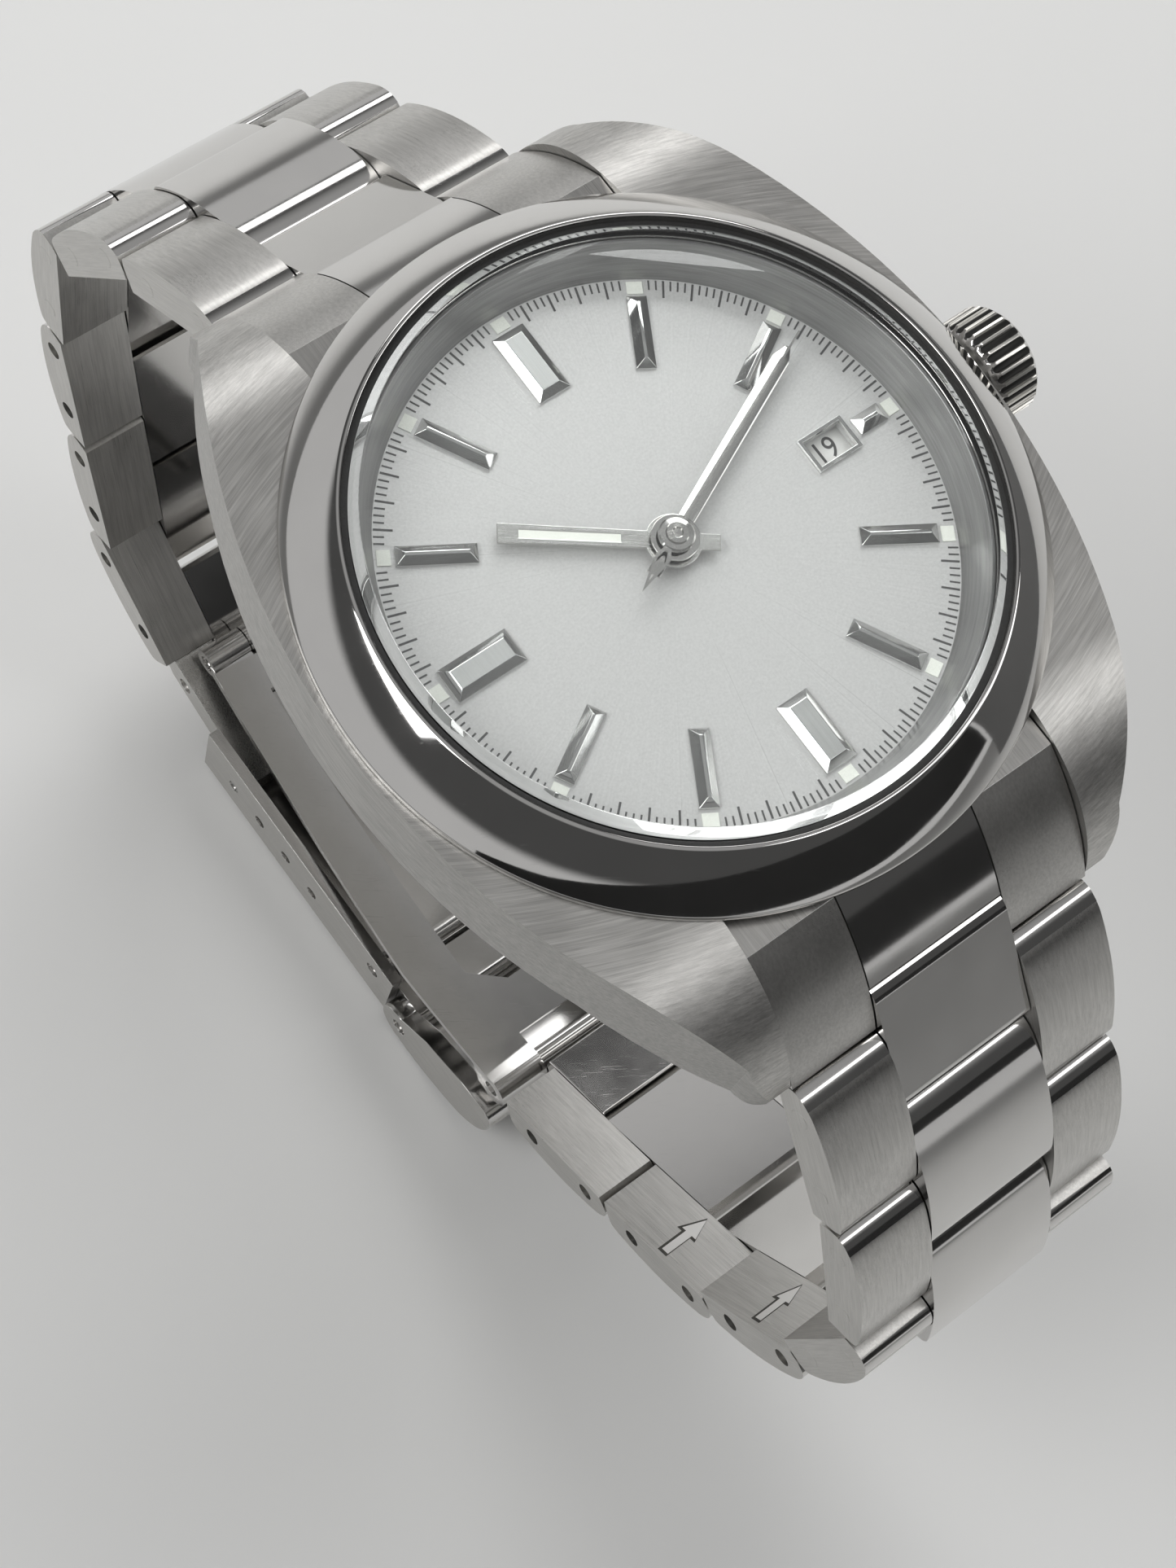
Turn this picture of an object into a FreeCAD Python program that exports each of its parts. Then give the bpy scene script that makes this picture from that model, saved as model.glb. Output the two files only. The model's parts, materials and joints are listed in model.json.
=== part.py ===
# Wristwatch: a self-winding steel watch on a three-row steel bracelet with a folding clasp.
#
# Frame, in millimetres: +Z is the dial's normal, +X points at 3 o'clock (the crown) and +Y at
# 12 o'clock. The origin is the middle of the case back's flat outer face, so the head stands
# above z = 0 and the closed bracelet hangs below it.
#
# Each half of the bracelet is a chain of rows. A row is a pair of outer links with the centre
# link that is pinned between them; the centre link reaches half a row further, into the next
# pair, and turns there on that pair's hinge pin.
import FreeCAD, Part
import math
import os
import Sketcher

Vector = FreeCAD.Vector
Rotation = FreeCAD.Rotation
Placement = FreeCAD.Placement

doc = FreeCAD.newDocument("wristwatch")
sheet = doc.addObject("Spreadsheet::Sheet", "Sizes")
nodes = []


# ---------------------------------------------------------------- sizes
# Every driving length, in millimetres. A spot is (y, z) or, in the movement, (x, y).
SIZES = {
    "case_width": 39.9,  # across 9 to 3 o'clock, without the crown
    "lug_over": 4.85,  # how much further the lugs reach than the case is wide, on each side
    "lug_gap": 20.0,
    "flank_radius": 39.2,  # of the long arc from lug to lug, seen from above
    "flank_over": 0.95,  # from the round wall between the lugs out to the flanks
    "case_top": 7.9,  # the seat of the bezel
    "flank_low": 2.5,
    "case_low": 1.0,  # the seat of the case back
    "foot_inset": 1.8,
    "lug_arc": 9.3,  # radius of the lug's top, seen from the side
    "lug_low": 0.4,
    "lug_tip": 0.9,  # height of the lug's end face
    "lug_root_in": 3.5,  # from the round wall in to where the lug's underside leaves the flank
    "lug_round": 1.6,
    "dial_ledge": 1.5,  # width of the ledge under the dial
    "thread_wall": 0.45,
    "thread_top": 2.7,
    "dial_seat": 6.2,
    "groove_in": 0.15,  # from the thread to the gasket's groove
    "groove_wide": 0.6,
    "groove_deep": 0.35,
    "gasket_fit": 0.02,
    "seat_gap": 0.05,  # between faces that nearly touch
    "overlap": 0.1,  # how far joined solids and cutters run into each other
    # bezel and crystal
    "bezel_inset": 0.25,
    "bezel_wall": 0.42,
    "bezel_broad": 2.62,
    "bezel_top": 10.8,
    "bezel_arc": 14.0,
    "lip_wide": 0.58,  # the bezel's flat lip and the gasket inside it
    "crystal_low": 9.0,
    "crystal_thick": 2.0,
    "crystal_bevel": 0.5,
    "gasket_wall": 0.35,
    # dial side
    "dial_thick": 0.4,
    "dial_hole": 1.15,
    "flange_slope": 1.1,
    "flange_edge": 0.2,
    "glass_over": 0.4,  # how far the crystal lies over its seat
    "track_wide": 1.05,  # from the markers out to the flange
    "marker_length": 4.15,
    "marker_width": 1.07,
    "marker_broad": 1.95,  # at 12, 6 and 9 o'clock
    "marker_flat": 1.05,  # the flat top of the broad ones
    "marker_high": 0.5,
    "marker_stub": 1.8,
    "window_long": 2.4,
    "window_inset": 0.3,  # from the date ring's edge
    "window_wide": 1.6,
    "window_rim": 0.22,
    "date_low": 5.62,
    "date_thick": 0.3,
    "date_wide": 3.5,
    "date_inset": 0.9,
    # hands
    "hand_thick": 0.18,
    "hour_low": 7.12,
    "minute_low": 7.5,
    "second_low": 7.9,
    "hour_tail": 2.4,
    "hour_wide": 1.1,
    "minute_wide": 0.95,
    "second_tail": 3.3,
    "second_wide": 0.3,
    "hour_tube": 1.0,
    "minute_tube": 0.66,
    "second_arbor": 0.25,
    "run_clear": 0.04,  # radial running clearance of pins and arbors
    # movement
    "ring_wide": 1.8,  # of the ring that fits the movement to the case
    "plate_low": 4.7,
    "plate_thick": 0.8,
    "bridge_low": 2.5,
    "bridge_thick": 0.5,
    "pillar_radius": 0.9,
    "pillar_inset": 1.2,
    "arbor": 0.3,
    "rotor_inset": 0.4,
    "rotor_low": 1.45,
    "rotor_thick": 0.75,
    "rotor_web": 0.25,
    "rotor_rim": 2.0,
    "rotor_hub": 3.0,
    "rotor_post": 1.5,
    "barrel_thick": 1.3,
    "balance_rim": 0.55,
    "balance_high": 0.35,
    "spoke_wide": 0.5,
    "spoke_thick": 0.2,
    "wheel_gap": 0.1,  # height between one moving wheel and the next piece
    "escape_thick": 0.2,
    "fork_wide": 0.5,
    "fork_reach": 1.95,  # from the fork's middle to a pallet
    "plate_rim": 0.15,  # room between the date ring and the plate's rim
    "pipe_foot": 0.3,
    "hub_drop": 0.1,  # the dial's seat to the top of the date ring's hub
    "bridge_inset": 0.2,
    "balance_room": 0.35,
    "cock_wide": 1.8,
    "cock_thick": 0.3,
    "cock_inset": 0.7,
    "cock_over": 1.2,
    "screw_radius": 0.4,
    "screw_head": 0.7,
    "screw_high": 0.2,
    "screw_slot": 0.16,
    # case back
    "back_over": 1.25,
    "back_floor": 1.2,
    "spigot_top": 2.3,
    "spigot_wall": 0.6,
    "notch_wide": 3.0,
    "notch_deep": 1.0,
    "notch_high": 0.6,
    "back_bevel": 0.35,
    # crown and stem
    "stem_height": 4.0,
    "stem_radius": 0.55,
    "stem_neck": 0.32,
    "neck_long": 0.5,
    "tube_bore": 0.62,
    "tube_radius": 1.4,
    "tube_inset": 0.2,
    "crown_gap": 1.05,
    "crown_long": 2.95,
    "crown_radius": 3.1,
    "crown_bevel": 0.45,
    "crown_face": 1.35,  # thickness of the crown's closed end
    "lever_wide": 2.6,
    "lever_play": 0.08,
    "flute_radius": 0.24,
    # bracelet
    "pitch": 11.2,  # from hinge pin to hinge pin
    "start_out": 1.5,  # from the lug's end out to the first row's hinge pin
    "start_z": -1.2,
    "link_under": 1.3,  # hinge pin to inner face
    "link_edge": 1.05,  # hinge pin to outer face, at the link's ends
    "link_bow": 19.0,  # radius of the outer face, seen from the side
    "outer_nose": 2.25,  # hinge pin to the outer link's rounded end
    "outer_gap": 0.32,
    "outer_bevel": 1.05,
    "centre_nose": 2.96,
    "centre_gap": 0.28,
    "centre_wide": 8.8,
    "side_gap": 0.06,
    "wide_start": 19.7,
    "wide_end": 17.0,
    "pin_radius": 0.6,
    "pin_sunk": 0.45,
    "fixing_at": 6.0,
    "joint_reach": 4.0,  # from the end link's pin to the first row's pin
    "joint_nose": 1.45,
    "outer_brow": 0.5,  # height of the rounded end's upper corner
    "outer_rise": 0.12,  # how much higher the polished bevel's edge stands
    "link_chamfer": 0.25,
    "centre_bevel": 0.95,
    "fixing_grip": 1.5,  # how far the fixing pin runs into each outer link
    "slot_room": 0.2,
    "bar_out": 1.9,
    "bar_z": 3.6,
    "bar_radius": 0.75,
    "bar_tip": 0.45,
    "end_under": 0.75,  # how far the end link's top lies under the bezel's seat
    "end_low": 1.4,
    "end_over": 0.45,  # how far the end link reaches past the lugs
    "end_drop": 0.55,
    "end_arc": 16.0,
    "end_foot": 2.2,  # height of the end link's outer face
    "end_inset": 0.9,
    "end_sole": 2.3,
    # clasp
    "tail_reach": 7.9,  # clasp end link: hinge pin to spring bar
    "shell_long": 22.3,
    "shell_high": 6.1,
    "shell_under": 3.1,  # spring bar to the shell's outer face
    "shell_ahead": 3.4,  # spring bar to the shell's open end
    "shell_sheet": 0.8,
    "shell_wall": 0.85,
    "shell_round": 0.6,
    "fold_ahead": 7.2,  # the fold's pin, from the spring bar
    "fold_rise": 5.4,
    "blade_in": 2.1,  # the outer blade's pin, from the shell's end
    "blade_rise": 1.0,
    "catch_out": 2.0,  # the catch's pin, from the shell's end
    "catch_drop": 1.0,
    "adjust_step": 3.2,
    "adjust_hole": 0.5,
    "blade_wide": 12.4,  # the inner blade at its fold
    "blade_end": 16.4,  # and at its end block
    "blade_sheet": 0.8,
    "blade_slot": 9.4,
    "blade_bow": 100.0,
    "blade_flare": 10.0,  # from the end block to where the blade is widest
    "slot_from": 5.6,  # from the end block to the blade's slot
    "slot_taper": 2.0,
    "slot_to": 4.0,  # from the slot to the fold
    "block_rise": 0.2,
    "bend_y": 6.0,  # the outer blade's bend, from the fold
    "bend_z": 1.5,
    "hinge_root": 1.5,
    "ear_gap": 0.1,
    "outer_blade_wide": 9.0,
    "knuckle": 1.1,
    "knuckle_wide": 6.0,
    "end_block": 1.4,  # radius of the inner blade's end block
    "open_gap": 1.1,  # from the block's pin to the last centre link
    "catch_wide": 17.8,
    "catch_nose": 1.85,
    "catch_wall": 1.3,
    "catch_sheet": 0.55,
    "catch_long": 9.9,
    "catch_high": 5.4,
    "catch_back": 2.6,
    "catch_bow": 16.0,
    "catch_turn": 5.0,
    "catch_lip": 1.2,
    "tongue_nose": 1.2,
}

# How many of each, and angles in degrees.
row_count = 6  # rows of links in each half of the bracelet
notch_count = 6
flute_count = 30
adjust_count = 4
escape_teeth = 15
rotor_rest = 205.0
joint_heading = {"12": -40.0, "6": -49.0}  # of the first centre links, below the level
row_headings = {
    "12": [-37.0, -56.0, -93.0, -104.5, -106.0, -140.0],
    "6": [-54.0, -65.0, -100.0, -125.0, -146.0, -150.0],
}
tail_heading = -164.0
hand_angles = {"hour": 305.2, "minute": 65.4, "second": 65.8}  # clockwise from 12 o'clock


class Size:
    """A length or an angle: its number, and the sheet expression that gives it."""

    def __init__(self, number, text):
        self.number = number
        self.text = text

    def __add__(self, other):
        other = size(other)
        return Size(self.number + other.number, f"({self.text} + {other.text})")

    def __sub__(self, other):
        other = size(other)
        return Size(self.number - other.number, f"({self.text} - {other.text})")

    def __mul__(self, other):
        other = size(other)
        return Size(self.number * other.number, f"({self.text} * {other.text})")

    def __truediv__(self, other):
        other = size(other)
        return Size(self.number / other.number, f"({self.text} / {other.text})")

    def __neg__(self):
        return Size(-self.number, f"(-{self.text})")

    def __radd__(self, other):
        return size(other) + self

    def __rsub__(self, other):
        return size(other) - self

    def __rmul__(self, other):
        return size(other) * self


def size(value):
    """A plain number as a Size."""
    return value if isinstance(value, Size) else Size(float(value), f"({float(value)})")


def root(value):
    """The square root of a Size."""
    return Size(math.sqrt(value.number), f"sqrt({value.text})")


class SizeSheet:
    """The sheet of driving sizes: one aliased cell each, read back as s.name."""

    def __init__(self, numbers):
        for row, (name, number) in enumerate(numbers.items(), 1):
            sheet.set(f"A{row}", name)
            sheet.set(f"B{row}", str(number))
            sheet.setAlias(f"B{row}", name)
            setattr(self, name, Size(float(number), f"Sizes.{name}"))


s = SizeSheet(SIZES)


# Sizes that follow from others, from the case inwards and then out to the bracelet.
case_half = s.case_width / 2
lug_end = case_half + s.lug_over
ring_radius = case_half - s.flank_over
bezel_radius = case_half - s.bezel_inset
bezel_lip = bezel_radius - s.bezel_broad
crystal_radius = bezel_lip - s.lip_wide
bezel_bore = crystal_radius + s.gasket_wall
flange_radius = crystal_radius - s.glass_over
flange_foot = flange_radius - s.flange_slope
marker_out = flange_foot - s.track_wide
hour_reach = marker_out * 0.638
minute_reach = marker_out * 0.91
second_reach = marker_out * 0.975
case_bore = flange_radius - s.dial_ledge
thread_radius = case_bore + s.thread_wall
back_radius = thread_radius + s.back_over
plate_radius = case_bore - s.ring_wide
rotor_radius = plate_radius - s.rotor_inset
date_radius = plate_radius - s.date_inset
date_bore = date_radius - s.date_wide
window_out = date_radius - s.window_inset
window_in = window_out - s.window_long
crown_in = case_half + s.crown_gap
crown_out = crown_in + s.crown_long
lug_root = ring_radius - s.lug_root_in
bar_y = ring_radius + s.bar_out
start_y = lug_end + s.start_out
end_reach = lug_end + s.end_over
end_top = s.case_top - s.end_under
crystal_top = s.crystal_low + s.crystal_thick
dial_top = s.dial_seat + s.dial_thick
plate_top = s.plate_low + s.plate_thick
bridge_top = s.bridge_low + s.bridge_thick

# The movement's wheels and pivots, as shares of its main plate.
barrel_radius = plate_radius * 0.39
escape_radius = plate_radius * 0.172
balance_radius = plate_radius * 0.336
fork_long = plate_radius * 0.234
neck_at = plate_radius * 0.75
stem_in = plate_radius * 0.672
barrel_spot = (plate_radius * -0.406, plate_radius * 0.359)
escape_spot = (plate_radius * -0.266, plate_radius * -0.641)
pallet_spot = (plate_radius * -0.016, plate_radius * -0.578)
balance_spot = (plate_radius * 0.406, plate_radius * -0.469)


# ---------------------------------------------------------------- building helpers
def bind(thing, **sizes):
    """Ties properties of a document object to the sheet."""
    for name, value in sizes.items():
        value = size(value)
        setattr(thing, name, value.number)
        thing.setExpression(name, value.text)
    return thing


def place(thing, x=0, y=0, z=0, turn=None):
    """Ties an object's place to the sheet; turn is a fixed rotation."""
    spot = [size(value) for value in (x, y, z)]
    thing.Placement = Placement(Vector(*[value.number for value in spot]), turn or Rotation())
    for axis, value in zip("xyz", spot):
        thing.setExpression(f"Placement.Base.{axis}", value.text)
    return thing


def trace(sketch, corners):
    """Draws one closed outline in a sketch and ties it to the sheet.

    A corner is (x, y) or (x, y, radius); with a radius, the edge to the next corner is an
    arc that bulges to the left of the way round, or to the right if the radius is negative.
    """
    first = sketch.GeometryCount
    count = len(corners)
    spots = [tuple(size(value) for value in corner[:2]) for corner in corners]
    ends = []
    for i, corner in enumerate(corners):
        here = Vector(spots[i][0].number, spots[i][1].number, 0)
        there = Vector(spots[(i + 1) % count][0].number, spots[(i + 1) % count][1].number, 0)
        if len(corner) < 3:
            sketch.addGeometry(Part.LineSegment(here, there), False)
            ends.append((1, 2))
            continue
        radius = size(corner[2]).number
        way = there - here
        left = Vector(-way.y, way.x, 0).normalize()
        middle = (here + there) * 0.5
        back = math.sqrt(max(radius * radius - way.Length * way.Length / 4, 0))
        centre = middle - left * math.copysign(back, radius)
        low, high = (there, here) if radius > 0 else (here, there)
        angles = [math.atan2(p.y - centre.y, p.x - centre.x) for p in (low, high)]
        if angles[1] <= angles[0]:
            angles[1] += 2 * math.pi
        ring = Part.Circle(centre, Vector(0, 0, 1), abs(radius))
        sketch.addGeometry(Part.ArcOfCircle(ring, *angles), False)
        ends.append((2, 1) if radius > 0 else (1, 2))
    for i in range(count):
        after = (i + 1) % count
        sketch.addConstraint(
            Sketcher.Constraint("Coincident", first + i, ends[i][1], first + after, ends[after][0])
        )
    for i, corner in enumerate(corners):
        for kind, value in zip(("DistanceX", "DistanceY"), spots[i]):
            rule = Sketcher.Constraint(kind, -1, 1, first + i, ends[i][0], value.number)
            sketch.setExpression(f"Constraints[{sketch.addConstraint(rule)}]", value.text)
        if len(corner) == 3:
            radius = size(corner[2])
            text = radius.text if radius.number > 0 else (-radius).text
            rule = Sketcher.Constraint("Radius", first + i, abs(radius.number))
            sketch.setExpression(f"Constraints[{sketch.addConstraint(rule)}]", text)


def circle(sketch, x, y, radius):
    """Draws one circle in a sketch and ties it to the sheet."""
    x, y, radius = size(x), size(y), size(radius)
    ring = Part.Circle(Vector(x.number, y.number, 0), Vector(0, 0, 1), radius.number)
    index = sketch.addGeometry(ring, False)
    for kind, value in (("DistanceX", x), ("DistanceY", y)):
        rule = Sketcher.Constraint(kind, -1, 1, index, 3, value.number)
        sketch.setExpression(f"Constraints[{sketch.addConstraint(rule)}]", value.text)
    rule = Sketcher.Constraint("Radius", index, radius.number)
    sketch.setExpression(f"Constraints[{sketch.addConstraint(rule)}]", radius.text)


def body_sketch(body, plane, loops=(), circles=(), offset=0):
    """A sketch on one of the body's own origin planes, moved along its normal by offset."""
    sketch = body.newObject("Sketcher::SketchObject", body.Name + "_sketch")
    face = [f for f in body.Origin.OriginFeatures if f.Role == plane + "_Plane"][0]
    sketch.AttachmentSupport = [(face, "")]
    sketch.MapMode = "FlatFace"
    offset = size(offset)
    sketch.AttachmentOffset = Placement(Vector(0, 0, offset.number), Rotation())
    sketch.setExpression("AttachmentOffset.Base.z", offset.text)
    for loop in loops:
        trace(sketch, loop)
    for ring in circles:
        circle(sketch, *ring)
    return sketch


def turned(name, outline):
    """A solid of revolution about Z; the outline's corners are (radius, height)."""
    body = doc.addObject("PartDesign::Body", name)
    sketch = body_sketch(body, "XZ", [outline])
    spin = body.newObject("PartDesign::Revolution", name + "_turn")
    spin.Profile = sketch
    spin.ReferenceAxis = (sketch, ["V_Axis"])
    spin.Angle = 360
    return body


def slab(name, low, high, loops=(), circles=()):
    """A flat piece between two heights; its outlines are seen from above."""
    body = doc.addObject("PartDesign::Body", name)
    sketch = body_sketch(body, "XY", loops, circles, low)
    pad = body.newObject("PartDesign::Pad", name + "_pad")
    pad.Profile = sketch
    bind(pad, Length=size(high) - size(low))
    return body


def across(name, width, loops, circles=()):
    """A piece of constant side view, the same width to both sides of x = 0."""
    body = doc.addObject("PartDesign::Body", name)
    sketch = body_sketch(body, "YZ", loops, circles)
    pad = body.newObject("PartDesign::Pad", name + "_pad")
    pad.Profile = sketch
    pad.SideType = "Symmetric"
    bind(pad, Length=width)
    return body


def rod(name, radius, length, x=0, y=0, z=0, along="z"):
    """A round rod that starts at a point and runs along an axis."""
    turns = {
        "z": Rotation(),
        "x": Rotation(Vector(0, 1, 0), 90),
        "y": Rotation(Vector(1, 0, 0), -90),
    }
    return place(
        bind(doc.addObject("Part::Cylinder", name), Radius=radius, Height=length), x, y, z, turns[along]
    )


def cross_rod(name, radius, length, y=0, z=0):
    """A rod along X, the same length to both sides of x = 0."""
    return rod(name, radius, length, -(size(length) / 2), y, z, "x")


def box(name, x, y, z, long, wide, high):
    """A block from a corner."""
    return place(
        bind(doc.addObject("Part::Box", name), Length=long, Width=wide, Height=high), x, y, z
    )


def cut(name, base, *tools):
    """The base less each tool."""
    for i, tool in enumerate(tools):
        step = doc.addObject("Part::Cut", f"{name}_cut_{i + 1}")
        step.Base = base
        step.Tool = tool
        base = step
    return base


def fuse(name, *parts):
    """Several solids as one."""
    joined = doc.addObject("Part::MultiFuse", name)
    joined.Shapes = list(parts)
    return joined


def common(name, one, other):
    """What two solids share."""
    shared = doc.addObject("Part::Common", name)
    shared.Base = one
    shared.Tool = other
    return shared


def group(name, parts):
    """Separate solids that belong to one sub-part."""
    compound = doc.addObject("Part::Compound", name)
    compound.Links = list(parts)
    return compound


def copy(thing, name, placement):
    """A second example of a solid, somewhere else."""
    twin = doc.addObject("Part::Compound", name)
    twin.Links = [thing]
    twin.Placement = placement
    return twin


def node(name, thing):
    """Names a finished sub-part."""
    thing.Label = name
    nodes.append((name, thing))
    return thing


def spin_z(degrees):
    """A turn about the dial's axis."""
    return Placement(Vector(), Rotation(Vector(0, 0, 1), degrees))


half_turn = spin_z(180)


# ---------------------------------------------------------------- case
def mid_case():
    """The case middle: a round wall with a flank and two lugs on each side."""
    wall = turned("case_wall", [
        (thread_radius, s.case_low),
        (ring_radius - s.foot_inset, s.case_low),
        (ring_radius, s.flank_low),
        (ring_radius, s.case_top),
        (flange_radius + s.run_clear, s.case_top),
        (flange_radius + s.run_clear, s.dial_seat),
        (case_bore, s.dial_seat),
        (case_bore, s.thread_top),
        (thread_radius, s.thread_top),
    ])
    axis = case_half - s.flank_radius
    end = lug_end
    tip = axis + root(s.flank_radius * s.flank_radius - end * end)
    shoulder = axis + root(s.flank_radius * s.flank_radius - (end - s.lug_round) * (end - s.lug_round))
    plan = slab("case_plan", s.lug_low - s.lug_arc, s.case_top + s.lug_arc, [[
        (shoulder, -(end - s.lug_round), -s.flank_radius),
        (shoulder, end - s.lug_round, -s.lug_round * 1.2),
        (tip - s.lug_round, end),
        (-(tip - s.lug_round), end, -s.lug_round * 1.2),
        (-shoulder, end - s.lug_round, -s.flank_radius),
        (-shoulder, -(end - s.lug_round), -s.lug_round * 1.2),
        (-(tip - s.lug_round), -end),
        (tip - s.lug_round, -end, -s.lug_round * 1.2),
    ]])
    arc_y = end - root(s.lug_arc * s.lug_arc - (s.lug_arc - (s.case_top - s.lug_low - s.lug_tip))
                       * (s.lug_arc - (s.case_top - s.lug_low - s.lug_tip)))
    side = across("case_side", s.case_width * 1.2, [[
        (-arc_y, s.case_top),
        (arc_y, s.case_top, s.lug_arc),
        (end, s.lug_low + s.lug_tip),
        (end, s.lug_low + s.lug_tip / 3),
        (end - s.lug_tip / 2, s.lug_low),
        (end - s.lug_round, s.lug_low),
        (lug_root, s.flank_low),
        (-lug_root, s.flank_low),
        (-(end - s.lug_round), s.lug_low),
        (-(end - s.lug_tip / 2), s.lug_low),
        (-end, s.lug_low + s.lug_tip / 3),
        (-end, s.lug_low + s.lug_tip, s.lug_arc),
    ]])
    gap = box("case_gap", -s.lug_gap / 2, -lug_end * 2, -s.lug_arc,
              s.lug_gap, lug_end * 4, s.lug_arc * 3)
    inside = rod("case_inside", (ring_radius + flange_radius) / 2, s.lug_arc * 3, z=-s.lug_arc)
    horns = cut("case_horns", common("case_frame", plan, side), gap, inside)
    tube_hole = rod("case_tube_hole", s.tube_radius, case_half, case_bore - s.tube_radius,
                    0, s.stem_height, "x")
    bar_long = s.lug_gap + (s.bar_tip + s.lug_tip) * 2
    bar_holes = [
        cross_rod(f"case_bar_hole_{side_name}", s.bar_tip + s.run_clear, bar_long, y, s.bar_z)
        for side_name, y in (("12", bar_y), ("6", -bar_y))
    ]
    groove_at = thread_radius + s.groove_in
    groove = turned("case_groove", [
        (groove_at, s.case_low - s.overlap),
        (groove_at + s.groove_wide, s.case_low - s.overlap),
        (groove_at + s.groove_wide, s.case_low + s.groove_deep),
        (groove_at, s.case_low + s.groove_deep),
    ])
    solid = fuse("case_solid", wall, horns)
    node("mid_case", cut("mid_case", solid, tube_hole, *bar_holes, groove))


def bezel():
    """The sloped ring that holds the crystal."""
    node("bezel", turned("bezel", [
        (bezel_radius, s.case_top),
        (bezel_radius, s.case_top + s.bezel_wall, -s.bezel_arc),
        (bezel_lip, s.bezel_top),
        (bezel_bore, s.bezel_top),
        (bezel_bore, s.crystal_low),
        (flange_radius + s.run_clear, s.crystal_low),
        (flange_radius + s.run_clear, s.case_top),
    ]))


def crystal():
    """The flat sapphire glass."""
    node("crystal", turned("crystal", [
        (0, s.crystal_low),
        (crystal_radius, s.crystal_low),
        (crystal_radius, crystal_top - s.crystal_bevel),
        (crystal_radius - s.crystal_bevel, crystal_top),
        (0, crystal_top),
    ]))


def case_back():
    """The screwed case back with its spanner notches."""
    plate = turned("back_plate", [
        (0, 0),
        (back_radius - s.back_bevel, 0),
        (back_radius, s.back_bevel),
        (back_radius, s.case_low),
        (thread_radius - s.run_clear, s.case_low),
        (thread_radius - s.run_clear, s.spigot_top),
        (thread_radius - s.run_clear - s.spigot_wall, s.spigot_top),
        (thread_radius - s.run_clear - s.spigot_wall, s.back_floor),
        (0, s.back_floor),
    ])
    notches = []
    for i in range(notch_count):
        notch = box(f"back_notch_{i + 1}", back_radius - s.notch_deep, -s.notch_wide / 2, -s.notch_high,
                    s.notch_deep * 2, s.notch_wide, s.notch_high * 2)
        notches.append(copy(notch, f"back_notch_place_{i + 1}", spin_z(360 / notch_count * i)))
    node("case_back", cut("case_back", plate, *notches))


def gaskets():
    """The rings that seal the crystal and the case back."""
    under, over = s.crystal_low + s.seat_gap, crystal_top - s.crystal_bevel - s.groove_in
    inner = thread_radius + s.groove_in + s.gasket_fit
    outer = inner + s.groove_wide - s.gasket_fit * 2
    top = s.case_low + s.groove_deep - s.gasket_fit
    node("gaskets", group("gaskets", [
        tube("crystal_gasket", bezel_bore, crystal_radius, under, over),
        tube("case_back_gasket", outer, inner, s.case_low, top),
    ]))


# ---------------------------------------------------------------- dial and hands
def window_outline(rim):
    """The date window at 3 o'clock, or its frame with a rim."""
    side = s.window_wide / 2 + rim
    return [
        (window_in - rim, -side),
        (window_out + rim, -side),
        (window_out + rim, side),
        (window_in - rim, side),
    ]


def dial():
    """The dial with its date window, and the sloped flange round it."""
    node("dial", slab("dial", s.dial_seat, dial_top, [window_outline(size(0))],
                      [(0, 0, flange_radius - s.run_clear), (0, 0, s.dial_hole)]))
    node("dial_flange", turned("dial_flange", [
        (flange_foot, dial_top),
        (flange_radius, dial_top),
        (flange_radius, s.crystal_low - s.seat_gap),
        (flange_radius - s.flange_edge, s.crystal_low - s.seat_gap),
    ]))


def baton(name, hour, width, length, flat):
    """One applied marker: a straight foot under a roof that slopes to all four sides."""
    foot_high = s.marker_high * 0.4
    slope = (width - flat) / 2
    foot = box(name + "_foot", -width / 2, marker_out - length, dial_top, width, length, foot_high)
    roof = doc.addObject("Part::Wedge", name + "_roof")
    bind(roof, Xmin=-width / 2, Xmax=width / 2, Ymin=0, Ymax=s.marker_high - foot_high,
         Zmin=0, Zmax=length, X2min=-flat / 2, X2max=flat / 2, Z2min=slope, Z2max=length - slope)
    place(roof, 0, marker_out, dial_top + foot_high, Rotation(Vector(1, 0, 0), 90))
    return copy(fuse(name + "_whole", foot, roof), name, spin_z(-30 * hour))


def markers():
    """Batons at the hours, broad at 12, 6 and 9, with a stub and a framed window at 3."""
    parts = []
    for hour in range(1, 13):
        broad = hour in (6, 9, 12)
        width = s.marker_broad if broad else s.marker_width
        flat = s.marker_flat if broad else s.marker_width * 0.16
        length = s.marker_stub if hour == 3 else s.marker_length
        parts.append(baton(f"marker_{hour}", hour, width, length, flat))
    frame = slab("date_frame", dial_top, dial_top + s.marker_high / 2,
                 [window_outline(s.window_rim), window_outline(size(0))])
    node("hour_markers", group("hour_markers", [*parts, frame]))


def tube(name, radius, bore, low, high):
    """A round tube about the dial's axis."""
    return turned(name, [(bore, low), (radius, low), (radius, high), (bore, high)])


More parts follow.
